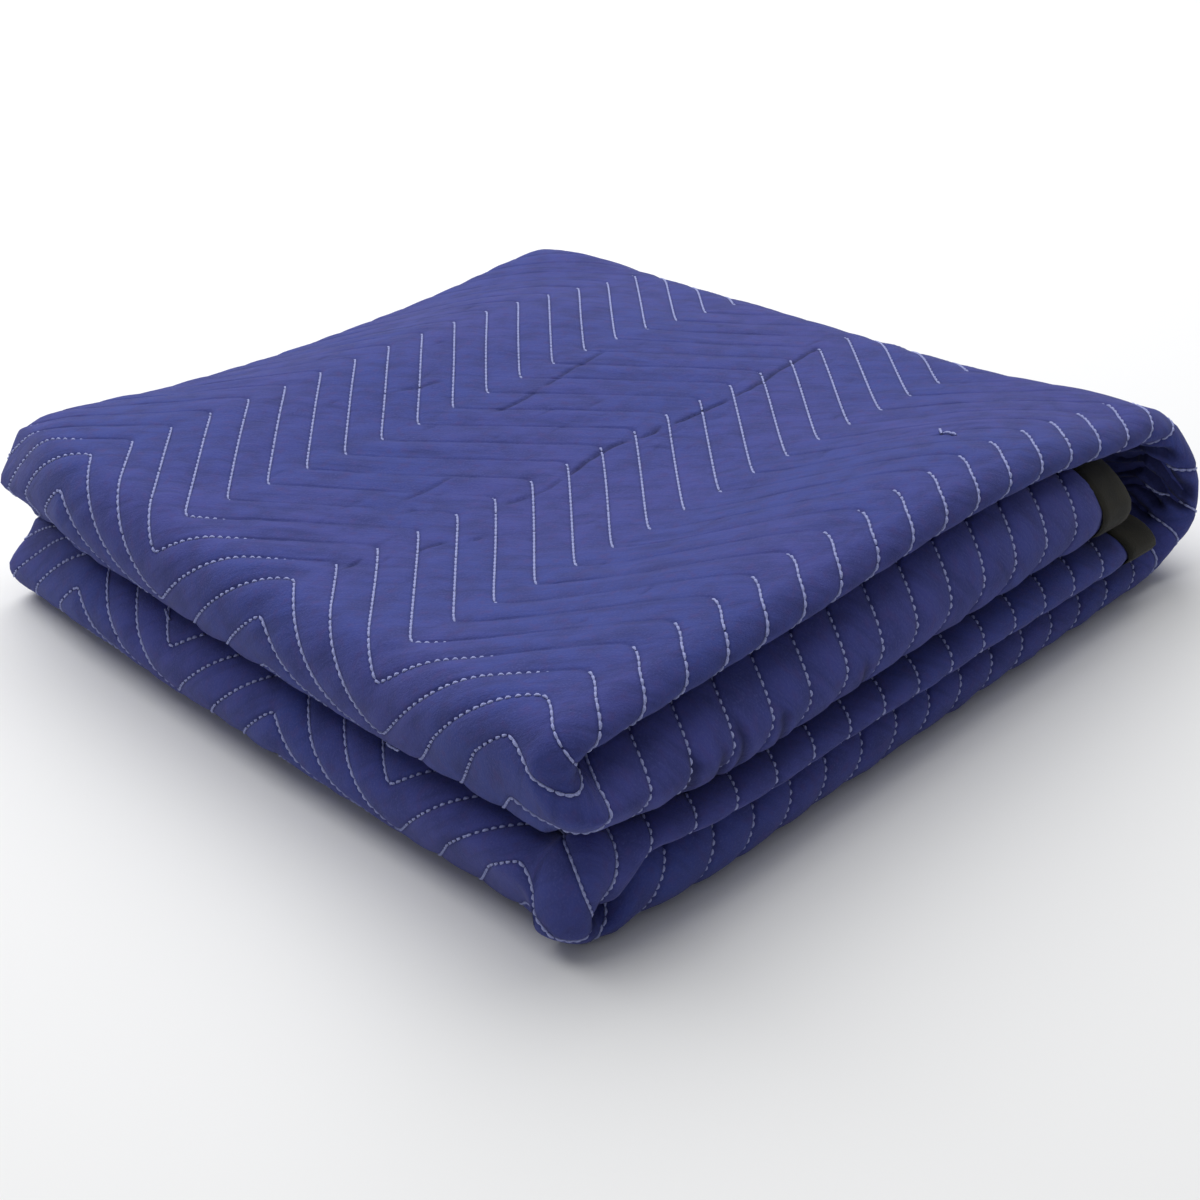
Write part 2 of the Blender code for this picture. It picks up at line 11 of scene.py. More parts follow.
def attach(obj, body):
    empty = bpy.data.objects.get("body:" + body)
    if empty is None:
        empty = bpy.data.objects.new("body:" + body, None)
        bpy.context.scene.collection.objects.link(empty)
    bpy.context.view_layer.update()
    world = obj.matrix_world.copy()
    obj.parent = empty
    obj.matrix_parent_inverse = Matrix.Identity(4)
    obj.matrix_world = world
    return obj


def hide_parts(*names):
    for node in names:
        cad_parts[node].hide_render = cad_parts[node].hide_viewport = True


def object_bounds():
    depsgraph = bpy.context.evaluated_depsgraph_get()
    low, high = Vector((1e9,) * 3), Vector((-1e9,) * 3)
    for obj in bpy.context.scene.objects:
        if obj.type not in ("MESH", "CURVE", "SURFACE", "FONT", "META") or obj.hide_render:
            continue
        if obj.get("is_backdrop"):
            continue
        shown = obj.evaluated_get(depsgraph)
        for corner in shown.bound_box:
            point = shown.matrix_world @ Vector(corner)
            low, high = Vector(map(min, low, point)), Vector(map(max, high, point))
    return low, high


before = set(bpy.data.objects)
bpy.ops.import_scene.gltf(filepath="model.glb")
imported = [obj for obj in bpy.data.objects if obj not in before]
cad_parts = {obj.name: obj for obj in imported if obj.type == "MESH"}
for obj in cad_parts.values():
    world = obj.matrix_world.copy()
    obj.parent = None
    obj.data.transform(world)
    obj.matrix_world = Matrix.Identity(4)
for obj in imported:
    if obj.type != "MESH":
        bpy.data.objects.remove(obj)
cad_low, cad_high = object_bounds()

# ---- The quilted cloth ----
# One 1.83 by 2.03 m rectangle of quilted cotton, about 5 mm thick, folded into a strip four
# plies thick and then into four layers. Zigzag rows 26 mm apart pull its face into soft
# ridges. It is meshed on its flat layout, finely where it shows, and then folded.

PLY = 0.0048            # thickness of the quilted cloth
PLY_STEP = 0.0063       # from one ply's middle to the next in the stack
ROW_STEP = 0.026        # from one stitched row to the next
ZIGZAG_RUN = 0.0931     # reach of a zigzag's leg round the section
ZIGZAG_REACH = 0.0773   # and along the strip
ROW_PHASE = -0.0027     # X of one row's points, measured from the stack's middle
STACK_LENGTH = 0.494    # along X, over the turns before they are pressed in
TURN_ROOM = 0.009       # how far the tight turns stay inside that
LOWER_REACH = 0.004     # how far the lower tight turn runs out past the upper one
STACK_WIDTH = 0.512     # along Y, over the folds
NOSE_BULGE = 0.020      # how far a front fold runs out past its straight plies
INNER_BULGE = 0.004     # and the fold inside it
UPPER_FLAP_END = 0.171  # X of the upper flap's cut end
LOWER_FLAP_END = 0.194  # X of the lower flap's cut end
TAPE_WIDTH = 0.025      # what shows of the tape on each face
BOUND_PLY = 0.0028      # the cloth's thickness where the tape grips it
BOUND_RAMP = 0.006      # the length over which the cloth thins to that
OUTER_EDGE_Y = 0.250    # the long edge of the cloth that is the outer ply's
INNER_EDGE_Y = 0.241    # and the one that is the inner ply's
BACK_POINTS_Y = 0.1625  # the line of zigzag points nearest the back

LAYER = 4 * PLY_STEP
HALF_PLY = PLY / 2
UNDER_STACK = (PLY_STEP - PLY) / 2
FACE_OUT = 1.5 * PLY_STEP + HALF_PLY
TIGHT_TURN = LAYER / 2
WIDE_TURN = 1.5 * LAYER
LEFT_X = LAYER + TURN_ROOM - STACK_LENGTH / 2
RIGHT_X = STACK_LENGTH / 2 - 2 * LAYER
FRONT_Y = NOSE_BULGE - STACK_WIDTH / 2
BACK_TURN = 0.5 * PLY_STEP
BACK_Y = STACK_WIDTH / 2 - BACK_TURN - HALF_PLY
INNER_FRONT_Y = FRONT_Y - INNER_BULGE
POINT_LINES = tuple(BACK_POINTS_Y - ZIGZAG_RUN * count for count in range(5))

# The strip, from the lower flap to the upper one. Columns: x, z, heading, turn radius, length.
TIGHT_LENGTH = math.pi * (TIGHT_TURN + FACE_OUT)
WIDE_LENGTH = math.pi * (WIDE_TURN + FACE_OUT)
RUN = RIGHT_X - LEFT_X
SPANS = np.array([
    (LOWER_FLAP_END, 1.5 * LAYER, math.pi, 0, LOWER_FLAP_END - LEFT_X),
    (LEFT_X, 1.5 * LAYER, math.pi, TIGHT_TURN, TIGHT_LENGTH),
    (LEFT_X, 0.5 * LAYER, 2 * math.pi, 0, RUN),
    (RIGHT_X, 0.5 * LAYER, 2 * math.pi, WIDE_TURN, WIDE_LENGTH),
    (RIGHT_X, 3.5 * LAYER, 3 * math.pi, 0, RUN),
    (LEFT_X, 3.5 * LAYER, 3 * math.pi, TIGHT_TURN, TIGHT_LENGTH),
    (LEFT_X, 2.5 * LAYER, 4 * math.pi, 0, UPPER_FLAP_END - LEFT_X),
])
SPAN_STARTS = np.concatenate([[0.0], np.cumsum(SPANS[:, 4])])
STRIP = SPAN_STARTS[-1]


def strip_middle(along):
    """The strip's middle at lengths along its outer face, and the way out from there."""
    index = np.clip(np.searchsorted(SPAN_STARTS, along, side="right") - 1, 0, len(SPANS) - 1)
    x, z, heading, radius, _ = SPANS[index].T
    length = along - SPAN_STARTS[index]
    turned = heading + np.where(radius > 0, length / (radius + FACE_OUT), 0.0)
    out_x, out_z = np.sin(turned), -np.cos(turned)
    run = np.where(radius > 0, 0.0, length)
    middle_x = x + run * np.cos(heading) + radius * (out_x - np.sin(heading))
    middle_z = z + run * np.sin(heading) + radius * (out_z + np.cos(heading))
    return middle_x, middle_z, out_x, out_z


# The strip's section, all the way round the sheet. Columns: ply's place or the turn's middle
# in Y, in steps across, its reach in Y, its reach across, where it starts, where it ends, face.
FRONT_TURN = (FRONT_Y, 0.0, NOSE_BULGE - HALF_PLY, 1.5 * PLY_STEP)
INNER_TURN = (INNER_FRONT_Y, 0.0, 0.5 * PLY_STEP, 0.5 * PLY_STEP)
BACK_FOLD = (BACK_Y, PLY_STEP, BACK_TURN, BACK_TURN)
FLAT, TURN = 0, 1
OUTLINE = np.array([
    (FLAT, 0, -1.5 * PLY_STEP, 0, 0, OUTER_EDGE_Y, FRONT_Y, -1),
    (TURN, *FRONT_TURN, -90, -270, 1),
    (FLAT, 0, 1.5 * PLY_STEP, 0, 0, FRONT_Y, BACK_Y, 1),
    (TURN, *BACK_FOLD, 90, -90, 1),
    (FLAT, 0, 0.5 * PLY_STEP, 0, 0, BACK_Y, INNER_FRONT_Y, -1),
    (TURN, *INNER_TURN, 90, 270, -1),
    (FLAT, 0, -0.5 * PLY_STEP, 0, 0, INNER_FRONT_Y, INNER_EDGE_Y, 1),
    (FLAT, 0, -0.5 * PLY_STEP, 0, 0, INNER_EDGE_Y, INNER_FRONT_Y, -1),
    (TURN, *INNER_TURN, -90, -270, 1),
    (FLAT, 0, 0.5 * PLY_STEP, 0, 0, INNER_FRONT_Y, BACK_Y, 1),
    (TURN, *BACK_FOLD, -90, 90, -1),
    (FLAT, 0, 1.5 * PLY_STEP, 0, 0, BACK_Y, FRONT_Y, -1),
    (TURN, *FRONT_TURN, 90, 270, -1),
    (FLAT, 0, -1.5 * PLY_STEP, 0, 0, FRONT_Y, OUTER_EDGE_Y, 1),
])
IN_TURN = OUTLINE[:, 0] == TURN
ROUND_LENGTHS = np.where(
    IN_TURN,
    math.pi * ((OUTLINE[:, 3] + OUTLINE[:, 4]) / 2 + OUTLINE[:, 7] * HALF_PLY),
    np.abs(OUTLINE[:, 6] - OUTLINE[:, 5]),
)
EDGE_AFTER = (6, 13)
EDGES = np.array([PLY if index in EDGE_AFTER else 0.0 for index in range(len(OUTLINE))])
ROUND_STARTS = np.concatenate([[0.0], np.cumsum(ROUND_LENGTHS + EDGES)])
ROUND = ROUND_STARTS[-1]
TOP_START = ROUND_STARTS[2]
BACK_END = ROUND_STARTS[4]


def section(along, around, lift):
    """(y, offset from the strip's middle) of points lifted off the outline."""
    around = np.mod(around, ROUND)
    index = np.clip(np.searchsorted(ROUND_STARTS, around + 1e-9, side="right") - 1, 0, len(OUTLINE) - 1)
    kind, centre_y, centre_n, reach_y, reach_n, start, end, face = OUTLINE[index].T
    share = np.clip((around - ROUND_STARTS[index]) / ROUND_LENGTHS[index], 0.0, 1.0)
    place = start + (end - start) * share
    on_edge_ply = [centre_n == -1.5 * PLY_STEP, centre_n == -0.5 * PLY_STEP]
    edge = np.select(on_edge_ply, [OUTER_EDGE_Y, INNER_EDGE_Y], 1.0)
    to_end = np.minimum(along, STRIP - along)
    to_side = np.where(kind == FLAT, edge - place, 1.0)
    bound = np.clip((np.minimum(to_end, to_side) - TAPE_WIDTH) / BOUND_RAMP, 0.0, 1.0)
    half = BOUND_PLY / 2 + (HALF_PLY - BOUND_PLY / 2) * bound
    reach = face * (half + lift)
    angle = np.radians(place)
    y = np.where(kind == FLAT, place, centre_y + (reach_y + reach) * np.cos(angle))
    offset = np.where(kind == FLAT, centre_n + reach, centre_n + (reach_n + reach) * np.sin(angle))
    return y, offset


def smooth_between(at, places, values):
    """A smooth curve through one value, or one row of values, at each of the rising places."""
    places = np.asarray(places, float)
    at = np.clip(at, places[0], places[-1])
    cell = np.clip(np.searchsorted(places, at, side="right") - 1, 0, len(places) - 2)
    width = np.diff(places)
    values = np.broadcast_to(np.asarray(values, float).reshape(len(places), -1), (len(places), len(at)))
    rise = np.diff(values, axis=0) / width[:, None]
    weights = width[:, None]
    inner = (rise[1:] * weights[:-1] + rise[:-1] * weights[1:]) / (weights[1:] + weights[:-1])
    slope = np.vstack([rise[:1], inner, rise[-1:]])
    point = np.arange(len(at))
    t = (at - places[cell]) / width[cell]
    start = values[cell, point] * (1 + 2 * t) + slope[cell, point] * width[cell] * t
    end = values[cell + 1, point] * (3 - 2 * t) - slope[cell + 1, point] * width[cell] * (1 - t)
    return start * (1 - t) ** 2 + end * t * t


def eased(value):
    """From 0 to 1, slowly at both ends."""
    value = np.clip(value, 0.0, 1.0)
    return value * value * (3 - 2 * value)


# Height of the whole stack along lines in Y, from the front to the back. Columns: Y, then the
# height at each of X_LINES.
X_LINES = (LEFT_X, -0.104, 0.114, RIGHT_X)
STACK_HEIGHTS = (
    (FRONT_Y, 0.124, 0.124, 0.120, 0.104),
    (POINT_LINES[4], 0.124, 0.124, 0.120, 0.104),
    (POINT_LINES[3], 0.113, 0.106, 0.102, 0.097),
    (POINT_LINES[1], 0.114, 0.107, 0.101, 0.090),
    (POINT_LINES[0], 0.119, 0.113, 0.101, 0.087),
    (BACK_Y, 0.112, 0.094, 0.083, 0.086),
    (BACK_Y + 0.009, 0.110, 0.091, 0.081, 0.084),
)

# Share of its height that the stack loses at the far left corner, and how that grows towards
# the corner: where it starts, inside LEFT_X and BACK_Y, and the length it takes.
FAR_DROP = 0.10
FAR_START = (0.035, 0.060)
FAR_LENGTH = (0.060, 0.065)

# Share of the height under each layer's top, bottom layer first: even over most of the stack,
# and at the front folds one row for each of X_LINES. CORNER_LIFT adds to them at the front
# end of the tight turns, where the two lower layers are pushed up.
EVEN_SHARES = (0.25, 0.5, 0.75)
FRONT_SHARES = (
    (0.305, 0.438, 0.815),
    (0.29, 0.435, 0.815),
    (0.237, 0.437, 0.84),
    (0.228, 0.47, 0.83),
)
CORNER_LIFT = (0.075, 0.08, 0.0)

# Share of the height by which the slit between the tight turns drops at the back, and by
# which the lower turn is pinched at its front end, with where that starts in X and its length.
SLIT_DROP = 0.05
CORNER_PINCH = 0.25
PINCH_X = -0.186
PINCH_LENGTH = 0.024


def near_left(x):
    """1 at the left turns, falling to 0 at the second of X_LINES."""
    return np.clip((X_LINES[1] - x) / (X_LINES[1] - X_LINES[0]), 0.0, 1.0) ** 2


def near_front(y):
    """0 at the zigzags' front points and 1 at the front folds."""
    return eased((POINT_LINES[4] - y) / (POINT_LINES[4] - FRONT_Y))


def stack_height(x, y):
    """The stack's real height over places on the floor."""
    lines = [smooth_between(x, X_LINES, row[1:]) for row in STACK_HEIGHTS]
    height = smooth_between(y, [row[0] for row in STACK_HEIGHTS], lines)
    far_x = eased((LEFT_X + FAR_START[0] - x) / FAR_LENGTH[0])
    far_y = eased((y - BACK_Y + FAR_START[1]) / FAR_LENGTH[1])
    return height * (1 - FAR_DROP * far_x * far_y)


def level_share(x, y, level):
    """Share of the height under a level that runs from 0 at the floor to 4 at the top."""
    front = eased((POINT_LINES[3] - y) / ZIGZAG_RUN)
    far = np.clip((y - POINT_LINES[1]) / (BACK_Y - POINT_LINES[1]), 0.0, 1.0) ** 2
    stops = [np.zeros_like(x)]
    for layer, even in enumerate(EVEN_SHARES):
        share = smooth_between(x, X_LINES, [row[layer] for row in FRONT_SHARES])
        lift = CORNER_LIFT[layer] * near_front(y) * near_left(x)
        stops.append(even + (share - even) * front + lift)
    stops.append(np.ones_like(x))
    stops = np.array(stops)
    stops[1] -= CORNER_PINCH * near_front(y) * eased((PINCH_X - x) / PINCH_LENGTH)
    stops[2] -= SLIT_DROP * far * near_left(x)
    layer = np.clip(level.astype(int), 0, 3)
    point = np.arange(len(x))
    return stops[layer, point] + (stops[layer + 1, point] - stops[layer, point]) * (level - layer)


# Shares of its reach that a tight turn loses: at the back, beside the slit between the two
# turns and over the upper one; under the lower one; and over all of that towards the front,
# from FRONT_TRIM_Y on.
NOTCH_TRIM = 0.90
NOTCH_SPREAD = 0.8
SHOULDER_TRIM = 0.60
UNDER_TRIM = 0.30
FRONT_TRIM = 0.15
FRONT_TRIM_Y = 0.030
FRONT_TRIM_LENGTH = 0.220


def turn_trim(y, level, at_back):
    """Share of its reach that a tight turn loses at places on it."""
    beside_slit = np.exp(-(((level - 2) / NOTCH_SPREAD) ** 2))
    back = NOTCH_TRIM * beside_slit + SHOULDER_TRIM * np.clip(level - 3, 0.0, 1.0)
    to_front = eased((FRONT_TRIM_Y - y) / FRONT_TRIM_LENGTH)
    under = UNDER_TRIM * np.clip(1 - level, 0.0, 1.0)
    return back * at_back + under + FRONT_TRIM * to_front * np.clip(2 - level, 0.0, 1.0)


# How far each layer's front fold stays back from the widest one, bottom layer first, and how
# far the cloth leans back between the two upper ones, at the left and at the right.
FRONT_SETBACK = (0.007, 0.0, 0.003, 0.015)
FOLD_LEAN = (0.0080, 0.0032)
LEAN_X = (-0.15, 0.15)

# How far the lowest layers are pushed back at the corner of a tight turn and a front fold.
CORNER_BACK = 0.012

# How far the corners at the back draw in along X, at the floor and at the top.
BACK_PULL = (0.002, 0.010)

# Level, counted in layers, by which the lower tight turn's extra reach has run out.
REACH_LEVEL = 2.5


def settled(x, y, z):
    """Where the plain stack's points really lie."""
    level = 4 * (z - UNDER_STACK) / (4 * LAYER - 2 * UNDER_STACK)
    lower = np.clip(REACH_LEVEL - level, 0.0, 1.0)
    to_right = eased((x - LEAN_X[0]) / (LEAN_X[1] - LEAN_X[0]))
    lean = FOLD_LEAN[0] + (FOLD_LEAN[1] - FOLD_LEAN[0]) * to_right
    setback = np.interp(level - 0.5, range(4), FRONT_SETBACK)
    setback += lean * np.clip(1 - 2 * np.abs(level - 3), 0.0, 1.0)
    into_fold = eased((POINT_LINES[4] - y) / (POINT_LINES[4] - FRONT_Y + NOSE_BULGE))
    corner = near_front(y) * near_left(x)
    back = setback * into_fold + CORNER_BACK * corner**2 * lower

    at_back = np.clip((y - POINT_LINES[0]) / (BACK_Y - POINT_LINES[0]), 0.0, 1.1)
    pull = (BACK_PULL[0] + (BACK_PULL[1] - BACK_PULL[0]) * level / 4) * at_back
    pull *= np.abs(2 * x / STACK_LENGTH) ** 3
    outside = np.maximum(LEFT_X - x, 0.0)
    inwards = outside * (turn_trim(y, level, at_back) - LOWER_REACH / LAYER * lower)
    height = stack_height(x, y) * level_share(x, y, level)
    return np.stack([x - np.sign(x) * pull + inwards, y + back, height], axis=1)


def placed(along, y, offset):
    """Where points of the strip come to lie once it is folded."""
    middle_x, middle_z, out_x, out_z = strip_middle(along)
    return settled(middle_x + offset * out_x, y, middle_z + offset * out_z)


def folded(along, around, lift):
    """Points of the folded cloth at places on its flat layout, lifted off its face."""
    return placed(along, *section(along, around, lift))


# Share of their swing that the rows lose where a front fold is pushed back, and how sharp
# their points are, where 1 is quite sharp.
FRONT_HOLD = 0.45
POINT_SHARPNESS = 0.996


def legs_to(around):
    """How many legs of a row lie between the zigzags' back points and a place."""
    return (around - TOP_START + FRONT_Y - POINT_LINES[0]) / ZIGZAG_RUN


def zigzag(around):
    """How far a row is swung along the strip."""
    legs = legs_to(around)
    wave = np.arcsin(POINT_SHARPNESS * np.cos(math.pi * legs))
    swing = 0.5 - wave / (2 * math.asin(POINT_SHARPNESS))
    held = np.where(legs < -5, 1.0, np.where(legs < -4, swing, 0.0))
    return ZIGZAG_REACH * (swing - FRONT_HOLD * held)


def soft_noise(u, v, seed):
    """Smooth noise from -1 to 1 that changes over about one unit."""
    lattice = np.random.default_rng(seed).uniform(-1, 1, (256, 256))
    i, j = np.floor(u).astype(int), np.floor(v).astype(int)
    a, b = eased(u - i), eased(v - j)
    near = lattice[i % 256, j % 256] * (1 - a) + lattice[(i + 1) % 256, j % 256] * a
    far = lattice[i % 256, (j + 1) % 256] * (1 - a) + lattice[(i + 1) % 256, (j + 1) % 256] * a
    return near * (1 - b) + far * b


FIRST_ROW = (SPAN_STARTS[4] + RIGHT_X - ROW_PHASE) % ROW_STEP
ROWS = range(-4, int(STRIP / ROW_STEP) + 2)
ROW_WOBBLE = 0.0007

# How far the rows slip back on the lower tight turn. The slip comes and goes beside it.
TURN_SLIP = 0.012


def along_of(slid, around):
    """Length along the strip of a point that keeps its place between two rows."""
    along = slid + zigzag(around)
    start, end = SPAN_STARTS[1], SPAN_STARTS[2]
    on_turn = eased((along - start + 0.03) / 0.05) * eased((end + 0.07 - along) / 0.08)
    along = along - TURN_SLIP * on_turn
    return along + ROW_WOBBLE * soft_noise(slid / 0.040, around / 0.055, 3)


# Creases left in the top. Columns: depth, half width, then X and Y of the places it runs through.
TOP_CREASES = (
    (0.0006, 0.0013, (-0.119, 0.006, -0.100, 0.007, -0.079, 0.009)),
    (0.0006, 0.0013, (-0.085, -0.035, -0.068, -0.037, -0.053, -0.039, -0.040, -0.036)),
    (0.0013, 0.0014, (-0.038, -0.035, -0.028, -0.034, -0.008, -0.029, 0.003, -0.030, 0.014, -0.032)),
    (0.0011, 0.0013, (0.017, -0.033, 0.028, -0.036, 0.038, -0.033)),
    (0.0012, 0.0013, (0.041, -0.036, 0.057, -0.036, 0.073, -0.037, 0.088, -0.039)),
    (0.0011, 0.0013, (0.090, -0.037, 0.104, -0.038, 0.138, -0.031, 0.183, -0.023)),
    (0.0009, 0.0013, (-0.017, 0.048, -0.005, 0.047, 0.007, 0.047, 0.019, 0.050)),
    (0.0008, 0.0013, (0.022, 0.049, 0.041, 0.053, 0.068, 0.057, 0.084, 0.061)),
    (0.0007, 0.0013, (-0.043, 0.107, -0.033, 0.104, -0.011, 0.097)),
    (0.0008, 0.0013, (-0.150, -0.041, -0.141, -0.042, -0.128, -0.046)),
    (0.0007, 0.0013, (-0.124, -0.050, -0.118, -0.054, -0.111, -0.055)),
    (0.0007, 0.0013, (-0.188, -0.032, -0.181, -0.032, -0.171, -0.031)),
    (0.0010, 0.0013, (0.093, -0.176, 0.098, -0.180, 0.103, -0.186)),
)


# Creases and pleats elsewhere, whose places are length along the strip and round the section.
SIDE_CREASES = (
    (0.0060, 0.0034, (0.9900, 0.4560, 0.9939, 0.4692, 1.0013, 0.4835,
                      0.9937, 0.4901, 0.9810, 0.4963, 0.9700, 0.5080)),
    (0.0055, 0.0032, (0.9760, 0.4480, 0.9800, 0.4620, 0.9880, 0.4780,
                      0.9810, 0.4870, 0.9690, 0.4945, 0.9600, 0.5050)),
    (0.0050, 0.0030, (0.9620, 0.4420, 0.9660, 0.4550, 0.9740, 0.4720, 0.9680, 0.4820, 0.9560, 0.4910)),
    (0.0045, 0.0030, (1.0060, 0.4600, 1.0100, 0.4740, 1.0140, 0.4870, 1.0080, 0.4960, 0.9980, 0.5030)),
    (0.0045, 0.0030, (0.9460, 0.4380, 0.9500, 0.4500, 0.9580, 0.4660, 0.9500, 0.4780, 0.9420, 0.4860)),
    (0.0035, 0.0028, (0.9300, 0.4420, 0.9360, 0.4580, 0.9300, 0.4720)),
    (0.0016, 0.0026, (1.5850, 0.5050, 1.5830, 0.5300)),
    (0.0018, 0.0028, (1.6010, 0.5090, 1.6040, 0.5330)),
    (0.0014, 0.0024, (1.6160, 0.5030, 1.6150, 0.5290)),
    (0.0015, 0.0028, (1.6420, 0.5080, 1.6450, 0.5320)),
    (0.0012, 0.0024, (1.7000, 0.5100, 1.7020, 0.5320)),
)
FAINT_CREASES = 90
CREASE_FADE = 0.006


def flat_places(places):
    """X and Y on the top as length along the strip and round the section."""
    return np.stack([SPAN_STARTS[4] + RIGHT_X - places[:, 0], TOP_START + places[:, 1] - FRONT_Y], axis=1)


def all_creases():
    """The creases above and many faint short ones, as (depth, half width, points)."""
    found = [(depth, width, np.reshape(places, (-1, 2))) for depth, width, places in TOP_CREASES]
    strewn = np.random.default_rng(21)
    for _ in range(FAINT_CREASES):
        middle = strewn.uniform((-0.20, -0.19), (0.19, 0.21))
        slant = strewn.normal(0.05, 0.14)
        half = strewn.uniform(0.004, 0.010) * np.array([1.0, slant])
        bow = np.array([0.0, strewn.normal(0, 0.0012)])
        depth = strewn.uniform(0.00015, 0.00045)
        found.append((depth, 0.0012, np.array([middle - half, middle + bow, middle + half])))
    found = [(depth, width, flat_places(places)) for depth, width, places in found]
    return found + [(depth, width, np.reshape(places, (-1, 2))) for depth, width, places in SIDE_CREASES]


def crease_depth(along, around, creases):
    """How deep the creases sink the face at these places."""
    spots = np.stack([along, around], axis=1)
    deepest = np.zeros(len(spots))
    for depth, width, places in creases:
        steps = np.linalg.norm(np.diff(places, axis=0), axis=1)
        total = steps.sum()
        done = 0.0
        for start, end, step in zip(places, places[1:], steps):
            way = (end - start) / step
            length = np.clip((spots - start) @ way, 0, step)
            gap = np.linalg.norm(spots - start - length[:, None] * way, axis=1)
            to_end = np.minimum(done + length, total - done - length)
            faded = np.clip(to_end / CREASE_FADE, 0.15, 1.0)
            deepest = np.maximum(deepest, depth * faded * np.exp(-((gap / width) ** 2)))
            done += step
    return deepest


CREASES = all_creases()

# The relief of the quilting: how far a row is pulled in, how far a full ridge stands out, and
# the puckers beside a row, the wrinkles and the streaks on the ridges.
ROW_DIP = 0.0013
ROW_PUFF = 0.0004
CLOSED_ROW = 0.72       # share of its dip that a row loses where the thread is drawn in
PUCKER = 0.0003
WRINKLE = 0.0005
STREAK = 0.0005
LEG_ALONG, LEG_AROUND = 0.64, 0.77      # the way a crosswise leg runs
SHOWN_FROM = ROUND_STARTS[1] - 0.012    # where the relief starts, under a front fold
HIDDEN_FROM = TOP_START + 0.014         # past this, only the top and the open turns show
DOTTED_TO_X = -0.215                    # left of this, thread shows on the crosswise legs too


def streaks(along, around):
    """Soft ridges a few millimetres apart that run with the crosswise legs."""
    with_legs = LEG_ALONG * along + LEG_AROUND * around
    across_legs = LEG_AROUND * along - LEG_ALONG * around
    return soft_noise(with_legs / 0.038, across_legs / 0.0065, 13)


def crosswise(around):
    """1 on the legs that run one way and 0 on those that run the other, eased at the points."""
    return eased(0.5 + 4 * np.sin(math.pi * legs_to(around)))


def drawn_in(along, around):
    """1 on crosswise legs away from the left turns, where the cloth closes over the thread."""
    return crosswise(around) * eased((strip_middle(along)[0] - DOTTED_TO_X) / 0.06)


def face_lift(slid, along, around):
    """How far the quilting and the small wrinkles lift the cloth's face."""
    phase = (slid - FIRST_ROW) / ROW_STEP
    row = np.round(phase)
    beside = 2 * np.abs(phase - row)
    ridge = np.sin(beside * math.pi / 2) ** 0.45
    fullness = 1 + 0.5 * soft_noise(phase, around / 0.045, 5)
    dip = ROW_DIP * (1 - CLOSED_ROW * drawn_in(along, around))
    lift = (dip + ROW_PUFF * fullness) * ridge - dip
    near_row = np.exp(-beside * 3.5) * np.minimum(1, beside * 12)
    lift += PUCKER * near_row * soft_noise(around / 0.0042, row * 7.3 + np.sign(phase - row), 7)
    lift += WRINKLE * ridge * soft_noise(along / 0.022, around / 0.022, 9)
    lift += STREAK * ridge * streaks(along, around)
    shown = eased((around - SHOWN_FROM) / 0.012) * eased((BACK_END - around) / 0.010)
    return lift * shown - crease_depth(along, around, CREASES)


# How finely the layout is meshed, in metres from one line round the section to the next.
DEEP_GAP = 0.004
FOLD_GAP = 0.0028
TOP_GAP = 0.0027
BACK_GAP = 0.0016
INNER_GAP = 0.07
ACROSS_ROW = (0.0, 0.04, 0.11, 0.24, 0.41, 0.59, 0.76, 0.89, 0.96)
DEEP_FROM = SHOWN_FROM - 0.060
CUT = DEEP_FROM - DEEP_GAP
LIP_ROOM = 0.04         # beside a tape, only its own lines are kept over this length
BEFORE_OPEN = 0.095     # rows that start this far before an open stretch still swing into it
PAST_OPEN = 0.020
CREASE_STEP = 0.002
CREASE_SIDES = (-2.2, -1.1, 0.0, 1.1, 2.2)      # in half widths of the crease


def spread(start, end, gap):
    """Places from start, short of end, about a gap apart."""
    return list(np.linspace(start, end, max(1, round((end - start) / gap)), endpoint=False))


def inner_stops(index):
    """Places on one ply or turn of the section that doesn't show."""
    start, end = ROUND_STARTS[index], ROUND_STARTS[index] + ROUND_LENGTHS[index]
    stops = spread(start, end, ROUND_LENGTHS[index] / 7 if IN_TURN[index] else INNER_GAP)
    row = OUTLINE[index]
    edge = {-1.5 * PLY_STEP: OUTER_EDGE_Y, -0.5 * PLY_STEP: INNER_EDGE_Y}.get(row[2])
    if not IN_TURN[index] and edge:
        lips = [edge - TAPE_WIDTH, edge - TAPE_WIDTH - BOUND_RAMP]
        stops = [stop for stop in stops if not start + 1e-6 < stop < start + LIP_ROOM]
        stops = [stop for stop in stops if stop < end - LIP_ROOM or stop == start]
        stops += [start + abs(lip - row[5]) for lip in lips]
    if index in EDGE_AFTER:
        stops.append(end)
    return sorted(stops)


def around_lines():
    """Places round the section. Columns: the place, how finely it is meshed, and its row number."""
    found = [(place, "deep") for place in [CUT, *spread(DEEP_FROM, SHOWN_FROM, DEEP_GAP)]]
    found += [(place, "front") for place in spread(SHOWN_FROM, HIDDEN_FROM, FOLD_GAP)]
    found += [(place, "top") for place in spread(HIDDEN_FROM, ROUND_STARTS[3], TOP_GAP)]
    found += [(place, "top") for place in spread(ROUND_STARTS[3], BACK_END, BACK_GAP)]
    for index in range(4, len(OUTLINE)):
        found += [(stop, "coarse") for stop in inner_stops(index)]
    last = [stop for stop in inner_stops(0) if stop < CUT - 0.01] + [CUT]
    found += [(ROUND + stop, "coarse") for stop in last]
    numbers = []
    now = 0.0
    for (place, kind), (after, _) in zip(found, found[1:] + found[-1:]):
        numbers.append(now)
        now += 1.0 if kind != "coarse" else min(16.0, max(3.0, (after - place) / 0.005))
    return [(place, kind, number) for (place, kind), number in zip(found, numbers)]


